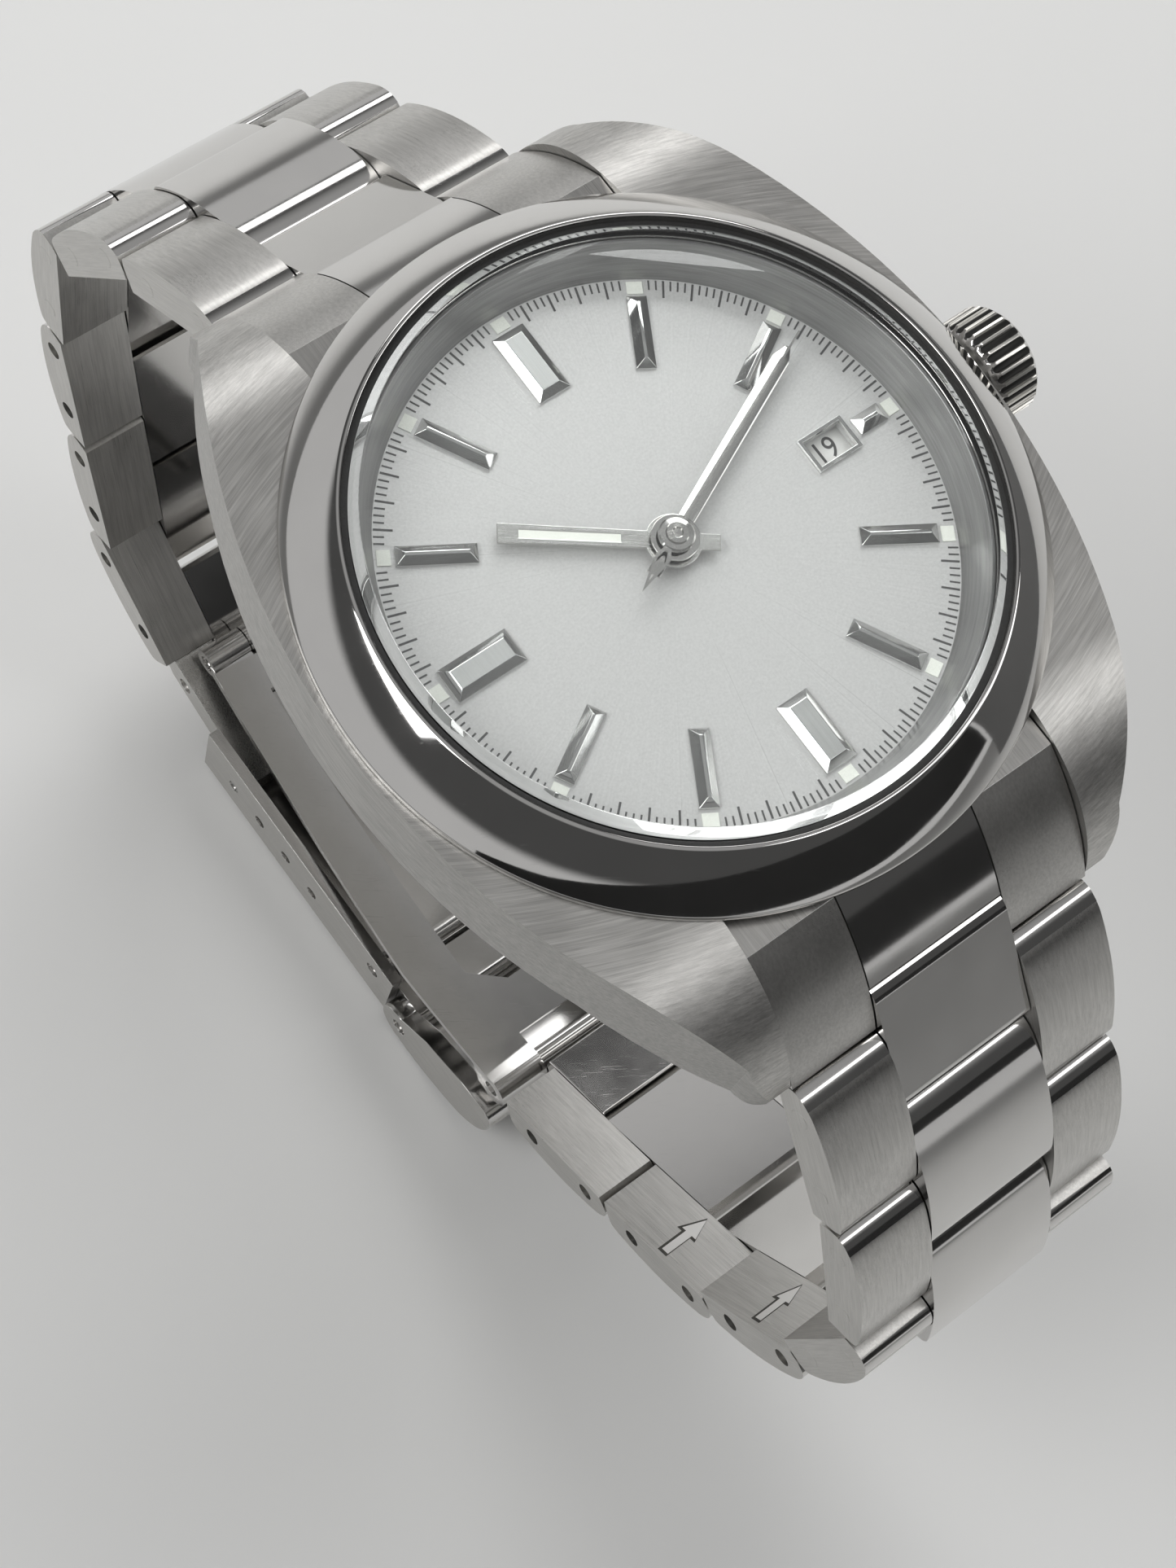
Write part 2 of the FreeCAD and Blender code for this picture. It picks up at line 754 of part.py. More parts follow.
def hands():
    """Hour, minute and second hand, each on its own tube or arbor, one inside the other."""
    half = s.hour_wide / 2
    slot = [
        (-half * 0.4, hour_reach * 0.3),
        (half * 0.4, hour_reach * 0.3),
        (half * 0.4, hour_reach * 0.88),
        (-half * 0.4, hour_reach * 0.88),
    ]
    hour = slab("hour_blade", s.hour_low, s.hour_low + s.hand_thick, [[
        (-half * 0.8, -s.hour_tail),
        (half * 0.8, -s.hour_tail),
        (half, hour_reach),
        (-half, hour_reach),
    ], slot])
    hub = rod("hour_hub", s.hour_tube * 1.45, s.hand_thick, z=s.hour_low)
    bore = rod("hour_bore", s.minute_tube + s.run_clear, s.crystal_low)
    stem = tube("hour_pipe", s.hour_tube, s.minute_tube + s.run_clear, plate_top - s.pipe_foot,
                s.hour_low + s.hand_thick)
    hour_hand = fuse("hour_hand", cut("hour_top", fuse("hour_flat", hour, hub), bore), stem)
    hour_hand.Placement = spin_z(-hand_angles["hour"])
    node("hour_hand", hour_hand)

    half = s.minute_wide / 2
    minute = slab("minute_blade", s.minute_low, s.minute_low + s.hand_thick, [[
        (-half * 0.75, -s.hour_tail),
        (half * 0.75, -s.hour_tail),
        (half, minute_reach * 0.93),
        (half * 0.3, minute_reach),
        (-half * 0.3, minute_reach),
        (-half, minute_reach * 0.93),
    ]])
    hub = rod("minute_hub", s.hour_tube * 1.25, s.hand_thick, z=s.minute_low)
    bore = rod("minute_bore", s.second_arbor + s.run_clear, s.crystal_low)
    stem = tube("minute_pipe", s.minute_tube, s.second_arbor + s.run_clear, s.plate_low + s.hand_thick,
                s.minute_low + s.hand_thick)
    minute_hand = fuse("minute_hand", cut("minute_top", fuse("minute_flat", minute, hub), bore), stem)
    minute_hand.Placement = spin_z(-hand_angles["minute"])
    node("minute_hand", minute_hand)

    half = s.second_wide / 2
    second = slab("second_blade", s.second_low, s.second_low + s.hand_thick, [[
        (-half, -s.second_tail),
        (0, -(s.second_tail + half * 3)),
        (half, -s.second_tail),
        (half * 0.6, second_reach),
        (-half * 0.6, second_reach),
    ]])
    cap = rod("second_cap", s.hour_tube * 0.95, s.hand_thick * 2, z=s.second_low)
    shaft = rod("second_shaft", s.second_arbor, s.second_low - s.plate_low + s.hand_thick, z=s.plate_low)
    second_hand = fuse("second_hand", second, cap, shaft)
    second_hand.Placement = spin_z(-hand_angles["second"])
    node("second_hand", second_hand)


def date_disc():
    """The ring of dates, which turns round the main plate's hub."""
    node("date_disc", slab("date_disc", s.date_low, s.date_low + s.date_thick, [],
                           [(0, 0, date_radius), (0, 0, date_bore)]))


# ---------------------------------------------------------------- movement
def pivot_holes(name, spots, low, high):
    """Holes for the arbors that stand between the main plate and the bridge."""
    return [rod(f"{name}_{i + 1}", s.arbor + s.run_clear, high - low, spot[0], spot[1], low)
            for i, spot in enumerate(spots)]


def pillar_spots():
    """The pillars that carry the bridge: angles that miss the wheels and the stem."""
    pillar_ring = plate_radius - s.pillar_inset
    angles = [math.radians(a) for a in (35, 95, 190, 265, 345)]
    return [(pillar_ring * math.cos(a), pillar_ring * math.sin(a)) for a in angles]


def main_plate():
    """The plate that carries the movement, with its hub, rim and pillars."""
    disc = turned("plate_disc", [
        (s.minute_tube + s.run_clear, s.plate_low),
        (plate_radius, s.plate_low),
        (plate_radius, s.dial_seat - s.seat_gap),
        (date_radius + s.plate_rim, s.dial_seat - s.seat_gap),
        (date_radius + s.plate_rim, plate_top),
        (date_bore - s.run_clear, plate_top),
        (date_bore - s.run_clear, s.dial_seat - s.hub_drop),
        (s.hour_tube + s.run_clear, s.dial_seat - s.hub_drop),
        (s.hour_tube + s.run_clear, plate_top - s.pipe_foot - s.run_clear),
        (s.minute_tube + s.run_clear, plate_top - s.pipe_foot - s.run_clear),
    ])
    post_high = s.plate_low - bridge_top + s.overlap
    pillars = [rod(f"plate_pillar_{i + 1}", s.pillar_radius, post_high, x, y, bridge_top)
               for i, (x, y) in enumerate(pillar_spots())]
    holes = pivot_holes("plate_pivot", (barrel_spot, escape_spot, pallet_spot, balance_spot),
                        s.plate_low - s.overlap, s.plate_low + s.plate_thick * 0.6)
    node("main_plate", cut("main_plate", fuse("plate_solid", disc, *pillars), *holes))
    ring = turned("ring_solid", [
        (plate_radius + s.run_clear, s.spigot_top),
        (case_bore - s.run_clear, s.spigot_top),
        (case_bore - s.run_clear, s.dial_seat),
        (plate_radius + s.run_clear, s.dial_seat),
    ])
    stem_hole = rod("ring_stem_hole", s.stem_radius + s.run_clear, plate_radius,
                    plate_radius - s.stem_radius, 0, s.stem_height, "x")
    node("movement_ring", cut("movement_ring", ring, stem_hole))


def bridges():
    """The train bridge with the rotor's post, and the balance cock."""
    x, y = balance_spot
    under, through = s.bridge_low - s.bridge_thick, s.bridge_thick * 3
    plate = slab("bridge_plate", s.bridge_low, bridge_top, [], [(0, 0, plate_radius - s.bridge_inset)])
    opening = rod("bridge_opening", balance_radius + s.balance_room, through, x, y, under)
    post = rod("bridge_post", s.rotor_post, bridge_top - s.rotor_low, z=s.rotor_low - s.seat_gap)
    holes = pivot_holes("bridge_pivot", (barrel_spot, escape_spot, pallet_spot),
                        s.bridge_low - s.overlap, bridge_top + s.overlap)
    screws = [rod(f"bridge_screw_hole_{i + 1}", s.screw_radius, through, sx, sy, under)
              for i, (sx, sy) in enumerate(pillar_spots())]
    node("train_bridge", cut("train_bridge", fuse("bridge_solid", plate, post), opening, *holes, *screws))
    back = balance_radius + s.cock_over
    arm = box("cock_arm", -back, -s.cock_wide / 2, bridge_top + s.seat_gap,
              back + plate_radius - s.cock_inset - root(x * x + y * y), s.cock_wide, s.cock_thick)
    angle = math.degrees(math.atan2(y.number, x.number))
    cock = group("cock_bar", [arm])
    place(cock, x, y, 0, Rotation(Vector(0, 0, 1), angle))
    node("balance_cock", cut("balance_cock", cock,
                             *pivot_holes("cock_pivot", [balance_spot], s.bridge_low, s.dial_seat)))


def movement_screws():
    """The bridge's screws and the one that holds the rotor."""
    heads = []
    for i, (x, y) in enumerate(pillar_spots()):
        head = rod(f"screw_head_{i + 1}", s.screw_head, s.screw_high, x, y, s.bridge_low - s.screw_high)
        shank = rod(f"screw_shank_{i + 1}", s.screw_radius, s.bridge_thick, x, y, s.bridge_low)
        slot = box(f"screw_slot_{i + 1}", x - s.screw_head * 2, y - s.screw_slot / 2,
                   s.bridge_low - s.screw_high * 1.5, s.screw_head * 4, s.screw_slot, s.screw_high)
        heads.append(cut(f"screw_{i + 1}", fuse(f"screw_body_{i + 1}", head, shank), slot))
    heads.append(rod("rotor_screw", s.rotor_post * 1.3, s.rotor_low - s.back_floor - s.seat_gap * 2,
                     z=s.back_floor + s.seat_gap))
    node("movement_screws", group("movement_screws", heads))


def rotor():
    """The winding weight: a half disc with a heavy rim, on the bridge's post."""
    low, high = s.rotor_low, s.rotor_low + s.rotor_thick
    hub = tube("rotor_ring", s.rotor_hub, s.rotor_post + s.run_clear, low, high)
    web_radius = rotor_radius - s.overlap
    web = slab("rotor_web", low + s.rotor_web, low + s.rotor_web * 2, [[
        (web_radius, 0, -web_radius),
        (0, web_radius, -web_radius),
        (-web_radius, 0),
    ]])
    rim = slab("rotor_rim", low, high, [[
        (rotor_radius, 0, -rotor_radius),
        (0, rotor_radius, -rotor_radius),
        (-rotor_radius, 0),
        (-(rotor_radius - s.rotor_rim), 0, rotor_radius - s.rotor_rim),
        (0, rotor_radius - s.rotor_rim, rotor_radius - s.rotor_rim),
        (rotor_radius - s.rotor_rim, 0),
    ]])
    bore = rod("rotor_bore", s.rotor_post + s.run_clear, s.rotor_thick * 3, z=low - s.rotor_thick)
    weight = cut("rotor", fuse("rotor_solid", web, rim, hub), bore)
    weight.Placement = spin_z(rotor_rest)
    node("rotor", weight)


def axle(name, spot, low):
    """An arbor from a height up into the main plate."""
    return rod(name, s.arbor, s.plate_low + s.plate_thick / 2 - low, *spot, low)


def barrel():
    """The drum of the mainspring."""
    drum = rod("barrel_drum", barrel_radius, s.barrel_thick, *barrel_spot, bridge_top + s.wheel_gap)
    node("barrel", fuse("barrel", drum, axle("barrel_arbor", barrel_spot, s.bridge_low)))


def escapement():
    """The escape wheel, and the pallet fork that points at it."""
    low = bridge_top + s.wheel_gap + s.seat_gap
    teeth = []
    for i in range(escape_teeth):
        for step, share in ((0, 1.0), (0.25, 0.78)):
            turn = 2 * math.pi * (i + step) / escape_teeth
            reach = escape_radius * share
            teeth.append((reach * math.cos(turn), reach * math.sin(turn)))
    wheel = place(slab("escape_disc", 0, s.escape_thick, [teeth]), *escape_spot, low)
    node("escape_wheel", fuse("escape_wheel", wheel, axle("escape_arbor", escape_spot, s.bridge_low)))

    half = s.fork_wide / 2
    inner = s.fork_reach * 0.8
    stub = s.fork_wide * 1.6
    x, y = (wheel_at - fork_at for wheel_at, fork_at in zip(escape_spot, pallet_spot))
    to_wheel = math.degrees(math.atan2(y.number, x.number))
    fork = slab("pallet_body", 0, s.escape_thick, [[
        (-half, -s.fork_reach),
        (half, -s.fork_reach),
        (half, -half * 1.2),
        (fork_long, -half * 0.6),
        (fork_long, half * 0.6),
        (half, half * 1.2),
        (half, s.fork_reach),
        (-stub, s.fork_reach),
        (-stub, inner),
        (-half, inner * 0.96),
        (-half, -inner * 0.96),
        (-stub, -inner),
        (-stub, -s.fork_reach),
    ]])
    place(fork, *pallet_spot, low, Rotation(Vector(0, 0, 1), to_wheel + 180))
    node("pallet_fork", fuse("pallet_fork", fork, axle("pallet_arbor", pallet_spot, s.bridge_low)))


def balance():
    """The balance: a rim on two crossed spokes."""
    x, y = balance_spot
    low = bridge_top + s.cock_thick + s.seat_gap + s.wheel_gap
    rim = tube("balance_rim_ring", balance_radius, balance_radius - s.balance_rim, 0, s.balance_high)
    reach = balance_radius - s.balance_rim / 2
    spokes = [box(f"balance_arm_{n}", x - long, y - wide, low + (s.balance_high - s.spoke_thick) / 2,
                  long * 2, wide * 2, s.spoke_thick)
              for n, long, wide in (("a", reach, s.spoke_wide / 2), ("b", s.spoke_wide / 2, reach))]
    staff = axle("balance_staff", balance_spot, bridge_top)
    node("balance_wheel", fuse("balance_wheel", place(rim, x, y, low), *spokes, staff))


# ---------------------------------------------------------------- crown
def crown():
    """Crown tube, fluted crown, winding stem and the lever that the stem pulls along."""
    lie = Rotation(Vector(0, 1, 0), 90)
    inner = crown_out - s.crown_face
    pipe = turned("crown_tube", [
        (s.tube_bore, case_bore + s.tube_inset),
        (s.tube_radius, case_bore + s.tube_inset),
        (s.tube_radius, inner - s.groove_deep),
        (s.tube_bore, inner - s.groove_deep),
    ])
    node("crown_tube", place(pipe, 0, 0, s.stem_height, lie))

    cap = turned("crown", [
        (s.tube_radius + s.run_clear * 2, crown_in),
        (s.crown_radius - s.crown_bevel, crown_in),
        (s.crown_radius, crown_in + s.crown_bevel),
        (s.crown_radius, crown_out - s.crown_bevel),
        (s.crown_radius - s.crown_bevel, crown_out),
        (0, crown_out),
        (0, inner),
        (s.tube_radius + s.run_clear * 2, inner),
    ])
    groove = cap.newObject("PartDesign::Pocket", "crown_flute")
    groove.Profile = body_sketch(cap, "XY", [], [(s.crown_radius, 0, s.flute_radius)], crown_in)
    groove.Reversed = True
    bind(groove, Length=s.crown_long)
    ring = cap.newObject("PartDesign::PolarPattern", "crown_flutes")
    ring.Originals = [groove]
    ring.Axis = (groove.Profile[0], ["N_Axis"])
    ring.Angle = 360
    ring.Occurrences = flute_count
    cap.Tip = ring
    node("crown", place(cap, 0, 0, s.stem_height, lie))

    stem = turned("winding_stem", [
        (0, stem_in),
        (s.stem_radius, stem_in),
        (s.stem_radius, neck_at),
        (s.stem_neck, neck_at),
        (s.stem_neck, neck_at + s.neck_long),
        (s.stem_radius, neck_at + s.neck_long),
        (s.stem_radius, inner),
        (0, inner),
    ])
    node("winding_stem", place(stem, 0, 0, s.stem_height, lie))

    low, high = bridge_top + s.wheel_gap, s.plate_low - s.seat_gap
    lever = box("lever_plate", neck_at + s.lever_play, -s.lever_wide / 2, low,
                s.neck_long - s.lever_play * 2, s.lever_wide, high - low)
    hole = rod("lever_hole", s.stem_neck + s.run_clear, s.neck_long * 3,
               neck_at - s.neck_long, 0, s.stem_height, "x")
    node("setting_lever", cut("setting_lever", lever, hole))


# ---------------------------------------------------------------- bracelet
def lay(thing, side, y, z, heading):
    """Puts a link on one half: its own +Y runs to the clasp and its +Z points outwards."""
    tilt = Rotation(Vector(1, 0, 0), heading)
    if side == "12":
        return place(thing, 0, y, z, tilt)
    return place(thing, 0, -y, z, half_turn.Rotation.multiply(tilt))


def hinge_spots(side):
    """(y, z, heading) of each hinge at rest: the end link's pin, each row's, and the last one."""
    turn = math.radians(joint_heading[side])
    y, z = start_y, s.start_z
    spots = [(y - s.joint_reach * math.cos(turn), z - s.joint_reach * math.sin(turn), joint_heading[side])]
    for heading in row_headings[side]:
        turn = math.radians(heading)
        spots.append((y, z, heading))
        y, z = y + s.pitch * math.cos(turn), z + s.pitch * math.sin(turn)
    spots.append((y, z, tail_heading))
    return spots


def row_width(share):
    """The bracelet's width, from 0 at the head to 1 at the clasp."""
    return s.wide_start + (s.wide_end - s.wide_start) * share


nose_drop = s.link_under * s.link_under
outer_low = root(s.outer_nose * s.outer_nose - nose_drop)
centre_low = root(s.centre_nose * s.centre_nose - nose_drop)
centre_high = root(s.centre_nose * s.centre_nose - s.link_edge * s.link_edge)
outer_brow_u = root(s.outer_nose * s.outer_nose - s.outer_brow * s.outer_brow)
outer_end = s.pitch - s.outer_nose - s.outer_gap
centre_start = s.centre_nose + s.centre_gap


def outer_links(side, row):
    """One pair of outer links with its hinge pin and the pin that fixes the centre link."""
    name = f"outer_links_{side}_{row}"
    wide, narrow = row_width((row - 1) / row_count), row_width(row / row_count)
    blank = across(name + "_side", wide, [[
        (-outer_low, -s.link_under, s.outer_nose),
        (-outer_brow_u, s.outer_brow),
        (s.outer_bevel - s.outer_nose, s.link_edge + s.outer_rise, s.link_bow),
        (outer_end - s.link_chamfer, s.link_edge),
        (outer_end, s.link_edge - s.link_chamfer),
        (outer_end, -s.link_under),
    ]])
    slot = s.centre_wide / 2 + s.side_gap
    plan = slab(name + "_plan", -s.link_under * 3, s.link_under * 3, [
        [
            (slot * way, -s.outer_nose * 1.1),
            (wide / 2 * way, -s.outer_nose * 1.1),
            (narrow / 2 * way, outer_end * 1.05),
            (slot * way, outer_end * 1.05),
        ]
        for way in (1, -1)
    ])
    bores = [cross_rod(f"{name}_bore_{i}", s.pin_radius, wide * 1.2, at)
             for i, at in ((1, 0), (2, s.fixing_at))]
    pair = cut(name + "_pair", common(name + "_blank", blank, plan), *bores)
    hinge = cross_rod(name + "_hinge", s.pin_radius, narrow - s.pin_sunk * 2)
    fixing = cross_rod(name + "_fixing", s.pin_radius, s.centre_wide + s.fixing_grip * 2, s.fixing_at)
    return node(name, group(name, [pair, hinge, fixing]))


def centre_link(side, row, last=False):
    """The centre link of one row, from the middle of its row to the middle of the next."""
    name = f"centre_link_{side}_{row}"
    head = [
        (centre_start, -s.link_under),
        (centre_start, s.link_edge * 0.4),
        (centre_start + s.centre_bevel, s.link_edge + s.outer_rise, s.link_bow),
    ]
    if last:
        lean = math.tan(math.radians(180 + row_headings[side][-1]))
        tail = [
            (s.pitch - s.open_gap + s.link_edge * lean, s.link_edge),
            (s.pitch - s.open_gap - s.link_under * lean, -s.link_under),
        ]
        bores = [(s.fixing_at, 0, s.pin_radius)]
    else:
        tail = [
            (s.pitch + centre_high, s.link_edge, s.centre_nose),
            (s.pitch + centre_low, -s.link_under),
        ]
        bores = [(s.fixing_at, 0, s.pin_radius), (s.pitch, 0, s.pin_radius + s.run_clear)]
    return node(name, across(name, s.centre_wide, [head + tail], bores))


def joint_link(side):
    """The short first centre link, between the end link and the first row."""
    name = f"centre_link_{side}_0"
    return node(name, across(name, s.centre_wide, [[
        (-root(s.joint_nose * s.joint_nose - nose_drop), -s.link_under, s.joint_nose),
        (-root(s.joint_nose * s.joint_nose - s.link_edge * s.link_edge), s.link_edge),
        (s.joint_reach + centre_high, s.link_edge, s.centre_nose),
        (s.joint_reach + centre_low, -s.link_under),
    ]], [(0, 0, s.pin_radius + s.run_clear), (s.joint_reach, 0, s.pin_radius + s.run_clear)]))


def end_link(side):
    """The solid end link between the lugs, with the pin of the first centre link."""
    name = f"end_link_{side}"
    y, z, heading = hinge_spots(side)[0]
    blank = across(name + "_side", s.lug_gap - s.side_gap * 2, [[
        (lug_root, s.end_low),
        (lug_root, end_top),
        (ring_radius, end_top, s.end_arc),
        (end_reach, s.end_drop),
        (end_reach - s.end_inset, s.end_drop - s.end_foot),
        (end_reach - s.end_inset - s.end_sole, s.end_drop - s.end_foot * 0.86),
    ]])
    seat = rod(name + "_seat", ring_radius + s.run_clear, s.lug_arc * 3, z=-s.lug_arc)
    row_room = cross_rod(name + "_row_room", s.outer_nose + s.outer_gap, s.lug_gap * 1.2,
                         start_y, s.start_z)
    slot_wide = s.centre_wide + s.side_gap * 2
    pin_room = cross_rod(name + "_pin_room", s.joint_nose + s.slot_room, slot_wide, y, z)
    ahead = across(name + "_ahead", slot_wide, [[
        (0, -s.lug_arc / 2),
        (s.lug_arc, -s.lug_arc / 2),
        (s.lug_arc, s.lug_arc / 2),
        (0, s.lug_arc / 2),
    ]])
    place(ahead, 0, y, z, Rotation(Vector(1, 0, 0), heading))
    pin_bore = cross_rod(name + "_pin_bore", s.pin_radius, s.lug_gap * 1.2, y, z)
    bar_bore = cross_rod(name + "_bar_bore", s.bar_radius, s.lug_gap * 1.2, bar_y, s.bar_z)
    solid = cut(name + "_solid", blank, seat, row_room, pin_room, ahead, pin_bore, bar_bore)
    pin = cross_rod(name + "_pin", s.pin_radius, s.lug_gap - s.side_gap * 6, y, z)
    whole = fuse(name, solid, pin)
    if side == "6":
        whole.Placement = half_turn
    return whole


def spring_bars():
    """The bars that hold the end links between the lugs."""
    bars = []
    for side, way in (("12", 1), ("6", -1)):
        spot = (bar_y * way, s.bar_z)
        middle = cross_rod(f"bar_body_{side}", s.bar_radius, s.lug_gap - s.side_gap * 4, *spot)
        tips = cross_rod(f"bar_tips_{side}", s.bar_tip, s.lug_gap + s.lug_tip * 2, *spot)
        bars.append(fuse(f"spring_bar_{side}", middle, tips))
    node("spring_bars", group("spring_bars", bars))


def bracelet_half(side):
    """One half of the bracelet: the first centre link and six rows."""
    spots = hinge_spots(side)
    lay(joint_link(side), side, *spots[0])
    for row in range(1, row_count + 1):
        lay(outer_links(side, row), side, *spots[row])
        lay(centre_link(side, row, last=side == "6" and row == row_count), side, *spots[row])


# ---------------------------------------------------------------- clasp
def clasp_spots():
    """(y, z) of the clasp's pivots: spring bar, blade hinges, catch pin and the last hinge."""
    y, z, heading = hinge_spots("12")[-1]
    turn = math.radians(heading)
    bar_y, bar_z = y + s.tail_reach * math.cos(turn), z + s.tail_reach * math.sin(turn)
    back = bar_y + s.shell_ahead - s.shell_long
    far_y, far_z, heading = hinge_spots("6")[-1]
    return {
        "bar": (bar_y, bar_z),
        "fold": (bar_y + s.fold_ahead, bar_z + s.fold_rise),
        "blade": (back + s.blade_in, bar_z + s.blade_rise),
        "catch": (back - s.catch_out, bar_z - s.catch_drop),
        "far": (-far_y, far_z),
    }


def clasp_end_link():
    """The link that the last row turns on, and that the spring bar holds in the shell."""
    inner = s.wide_end - s.shell_wall * 2 - s.side_gap * 2
    blank = across("tail_side", inner, [[
        (-outer_low, -s.link_under, s.outer_nose),
        (-outer_brow_u, s.outer_brow),
        (s.outer_bevel - s.outer_nose, s.link_edge),
        (s.tail_reach, s.link_edge, s.link_edge),
        (s.tail_reach + s.link_edge, 0),
        (s.tail_reach + s.link_edge * 0.5, -s.link_under),
    ]], [(s.tail_reach, 0, s.bar_radius + s.run_clear)])
    slot = box("tail_slot", -(s.centre_wide / 2 + s.side_gap), -s.outer_nose * 1.2, -s.link_under * 2,
               s.centre_wide + s.side_gap * 2, s.outer_nose * 1.2 + centre_start, s.link_under * 4)
    bore = cross_rod("tail_bore", s.pin_radius, inner * 1.2)
    solid = cut("tail_solid", blank, slot, bore)
    pin = cross_rod("tail_pin", s.pin_radius, inner - s.pin_sunk)
    whole = group("clasp_end_link", [solid, pin])
    node("clasp_end_link", lay(whole, "12", *hinge_spots("12")[-1]))


def clasp_shell():
    """The clasp's outer shell: a channel with adjusting holes, and a tongue for the catch."""
    spots = clasp_spots()
    bar_at = spots["bar"]
    ahead = bar_at[0] + s.shell_ahead
    back = ahead - s.shell_long
    low = bar_at[1] - s.shell_under
    high = low + s.shell_high
    block = box("shell_block", -s.wide_end / 2, back, low, s.wide_end, s.shell_long, s.shell_high)
    rounded = doc.addObject("Part::Fillet", "shell_round")
    doc.recompute()
    rounded.Base = block
    side = s.wide_end.number / 2
    middles = [edge.CenterOfMass for edge in block.Shape.Edges]
    rounded.Edges = [
        (i, s.shell_round.number, s.shell_round.number)
        for i, spot in enumerate(middles, 1)
        if math.isclose(spot.z, low.number) and math.isclose(abs(spot.x), side)
    ]
    hollow = box("shell_hollow", -(s.wide_end / 2 - s.shell_wall), back - s.overlap, low + s.shell_sheet,
                 s.wide_end - s.shell_wall * 2, s.shell_long + s.overlap * 2, s.shell_high)
    holes = [
        cross_rod(f"shell_hole_{i + 1}", s.adjust_hole, s.wide_end * 1.2,
                  bar_at[0] - s.adjust_step * i, bar_at[1])
        for i in range(adjust_count)
    ]
    blade_y, blade_z = spots["blade"]
    blade_hole = cross_rod("shell_blade_hole", s.pin_radius, s.wide_end * 1.2, blade_y, blade_z)
    channel = cut("shell_channel", rounded, hollow, *holes, blade_hole)
    catch_y, catch_z = spots["catch"]
    inner = s.catch_wide - s.catch_wall * 2 - s.side_gap * 4
    tongue = across("shell_tongue", inner, [[
        (back + s.shell_sheet, low),
        (back + s.shell_sheet, catch_z + s.tongue_nose),
        (catch_y, catch_z + s.tongue_nose, -s.tongue_nose),
        (catch_y - s.tongue_nose, catch_z, -s.tongue_nose),
        (catch_y, catch_z - s.tongue_nose, -s.tongue_nose),
        (catch_y + s.tongue_nose * 0.9, catch_z + s.tongue_nose * 0.436),
        (back, catch_z + s.tongue_nose * 0.436),
        (back, low),
    ]], [(catch_y, catch_z, s.pin_radius)])
    pins = [
        cross_rod("shell_blade_pin", s.pin_radius, s.wide_end - s.pin_sunk, blade_y, blade_z),
        cross_rod("shell_catch_pin", s.pin_radius, s.catch_wide - s.pin_sunk, catch_y, catch_z),
    ]
    node("clasp_shell", fuse("clasp_shell", channel, tongue, *pins))
    body = cross_rod("clasp_bar_body", s.bar_radius, s.wide_end - s.shell_wall * 2 - s.side_gap * 2, *bar_at)
    tips = cross_rod("clasp_bar_tips", s.adjust_hole, s.wide_end - s.ear_gap * 2, *bar_at)
    node("clasp_spring_bar", fuse("clasp_spring_bar", body, tips))


def outer_blade():
    """The folding blade that turns in the shell; its middle knuckle carries the fold."""
    spots = clasp_spots()
    fold_y, fold_z = spots["fold"]
    hinge_y, hinge_z = spots["blade"]
    bend_at, bend_low = fold_y - s.bend_y, fold_z - s.bend_z
    plate = across("outer_blade_side", s.outer_blade_wide, [[
        (fold_y - s.knuckle * 0.3, fold_z - s.knuckle * 0.92),
        (fold_y - s.knuckle * 0.75, fold_z - s.knuckle * 0.7),
        (bend_at, bend_low),
        (hinge_y + s.hinge_root, hinge_z + s.knuckle),
        (hinge_y, hinge_z + s.knuckle, -s.knuckle),
        (hinge_y - s.knuckle, hinge_z, -s.knuckle),
        (hinge_y, hinge_z - s.knuckle),
        (hinge_y + s.hinge_root / 2, hinge_z - s.knuckle * 0.2),
        (hinge_y + s.hinge_root, hinge_z + s.knuckle - s.blade_sheet),
        (bend_at - s.blade_sheet / 4, bend_low - s.blade_sheet),
    ]])
    fold_barrel = cross_rod("outer_blade_knuckle", s.knuckle, s.knuckle_wide, fold_y, fold_z)
    bores = [
        cross_rod("outer_blade_fold_bore", s.pin_radius + s.run_clear, s.blade_wide, fold_y, fold_z),
        cross_rod("outer_blade_hinge_bore", s.pin_radius + s.run_clear, s.blade_wide, hinge_y, hinge_z),
    ]
    room = s.knuckle + s.slot_room
    gaps = [
        box(f"outer_blade_gap_{n}", x, fold_y - room, fold_z - room,
            s.outer_blade_wide, room * 2, room * 2)
        for n, x in (
            ("left", -(s.knuckle_wide / 2 + s.outer_blade_wide)),
            ("right", s.knuckle_wide / 2),
        )
    ]
    solid = fuse("outer_blade_solid", plate, fold_barrel)
    node("outer_blade", cut("outer_blade", solid, *bores, *gaps))


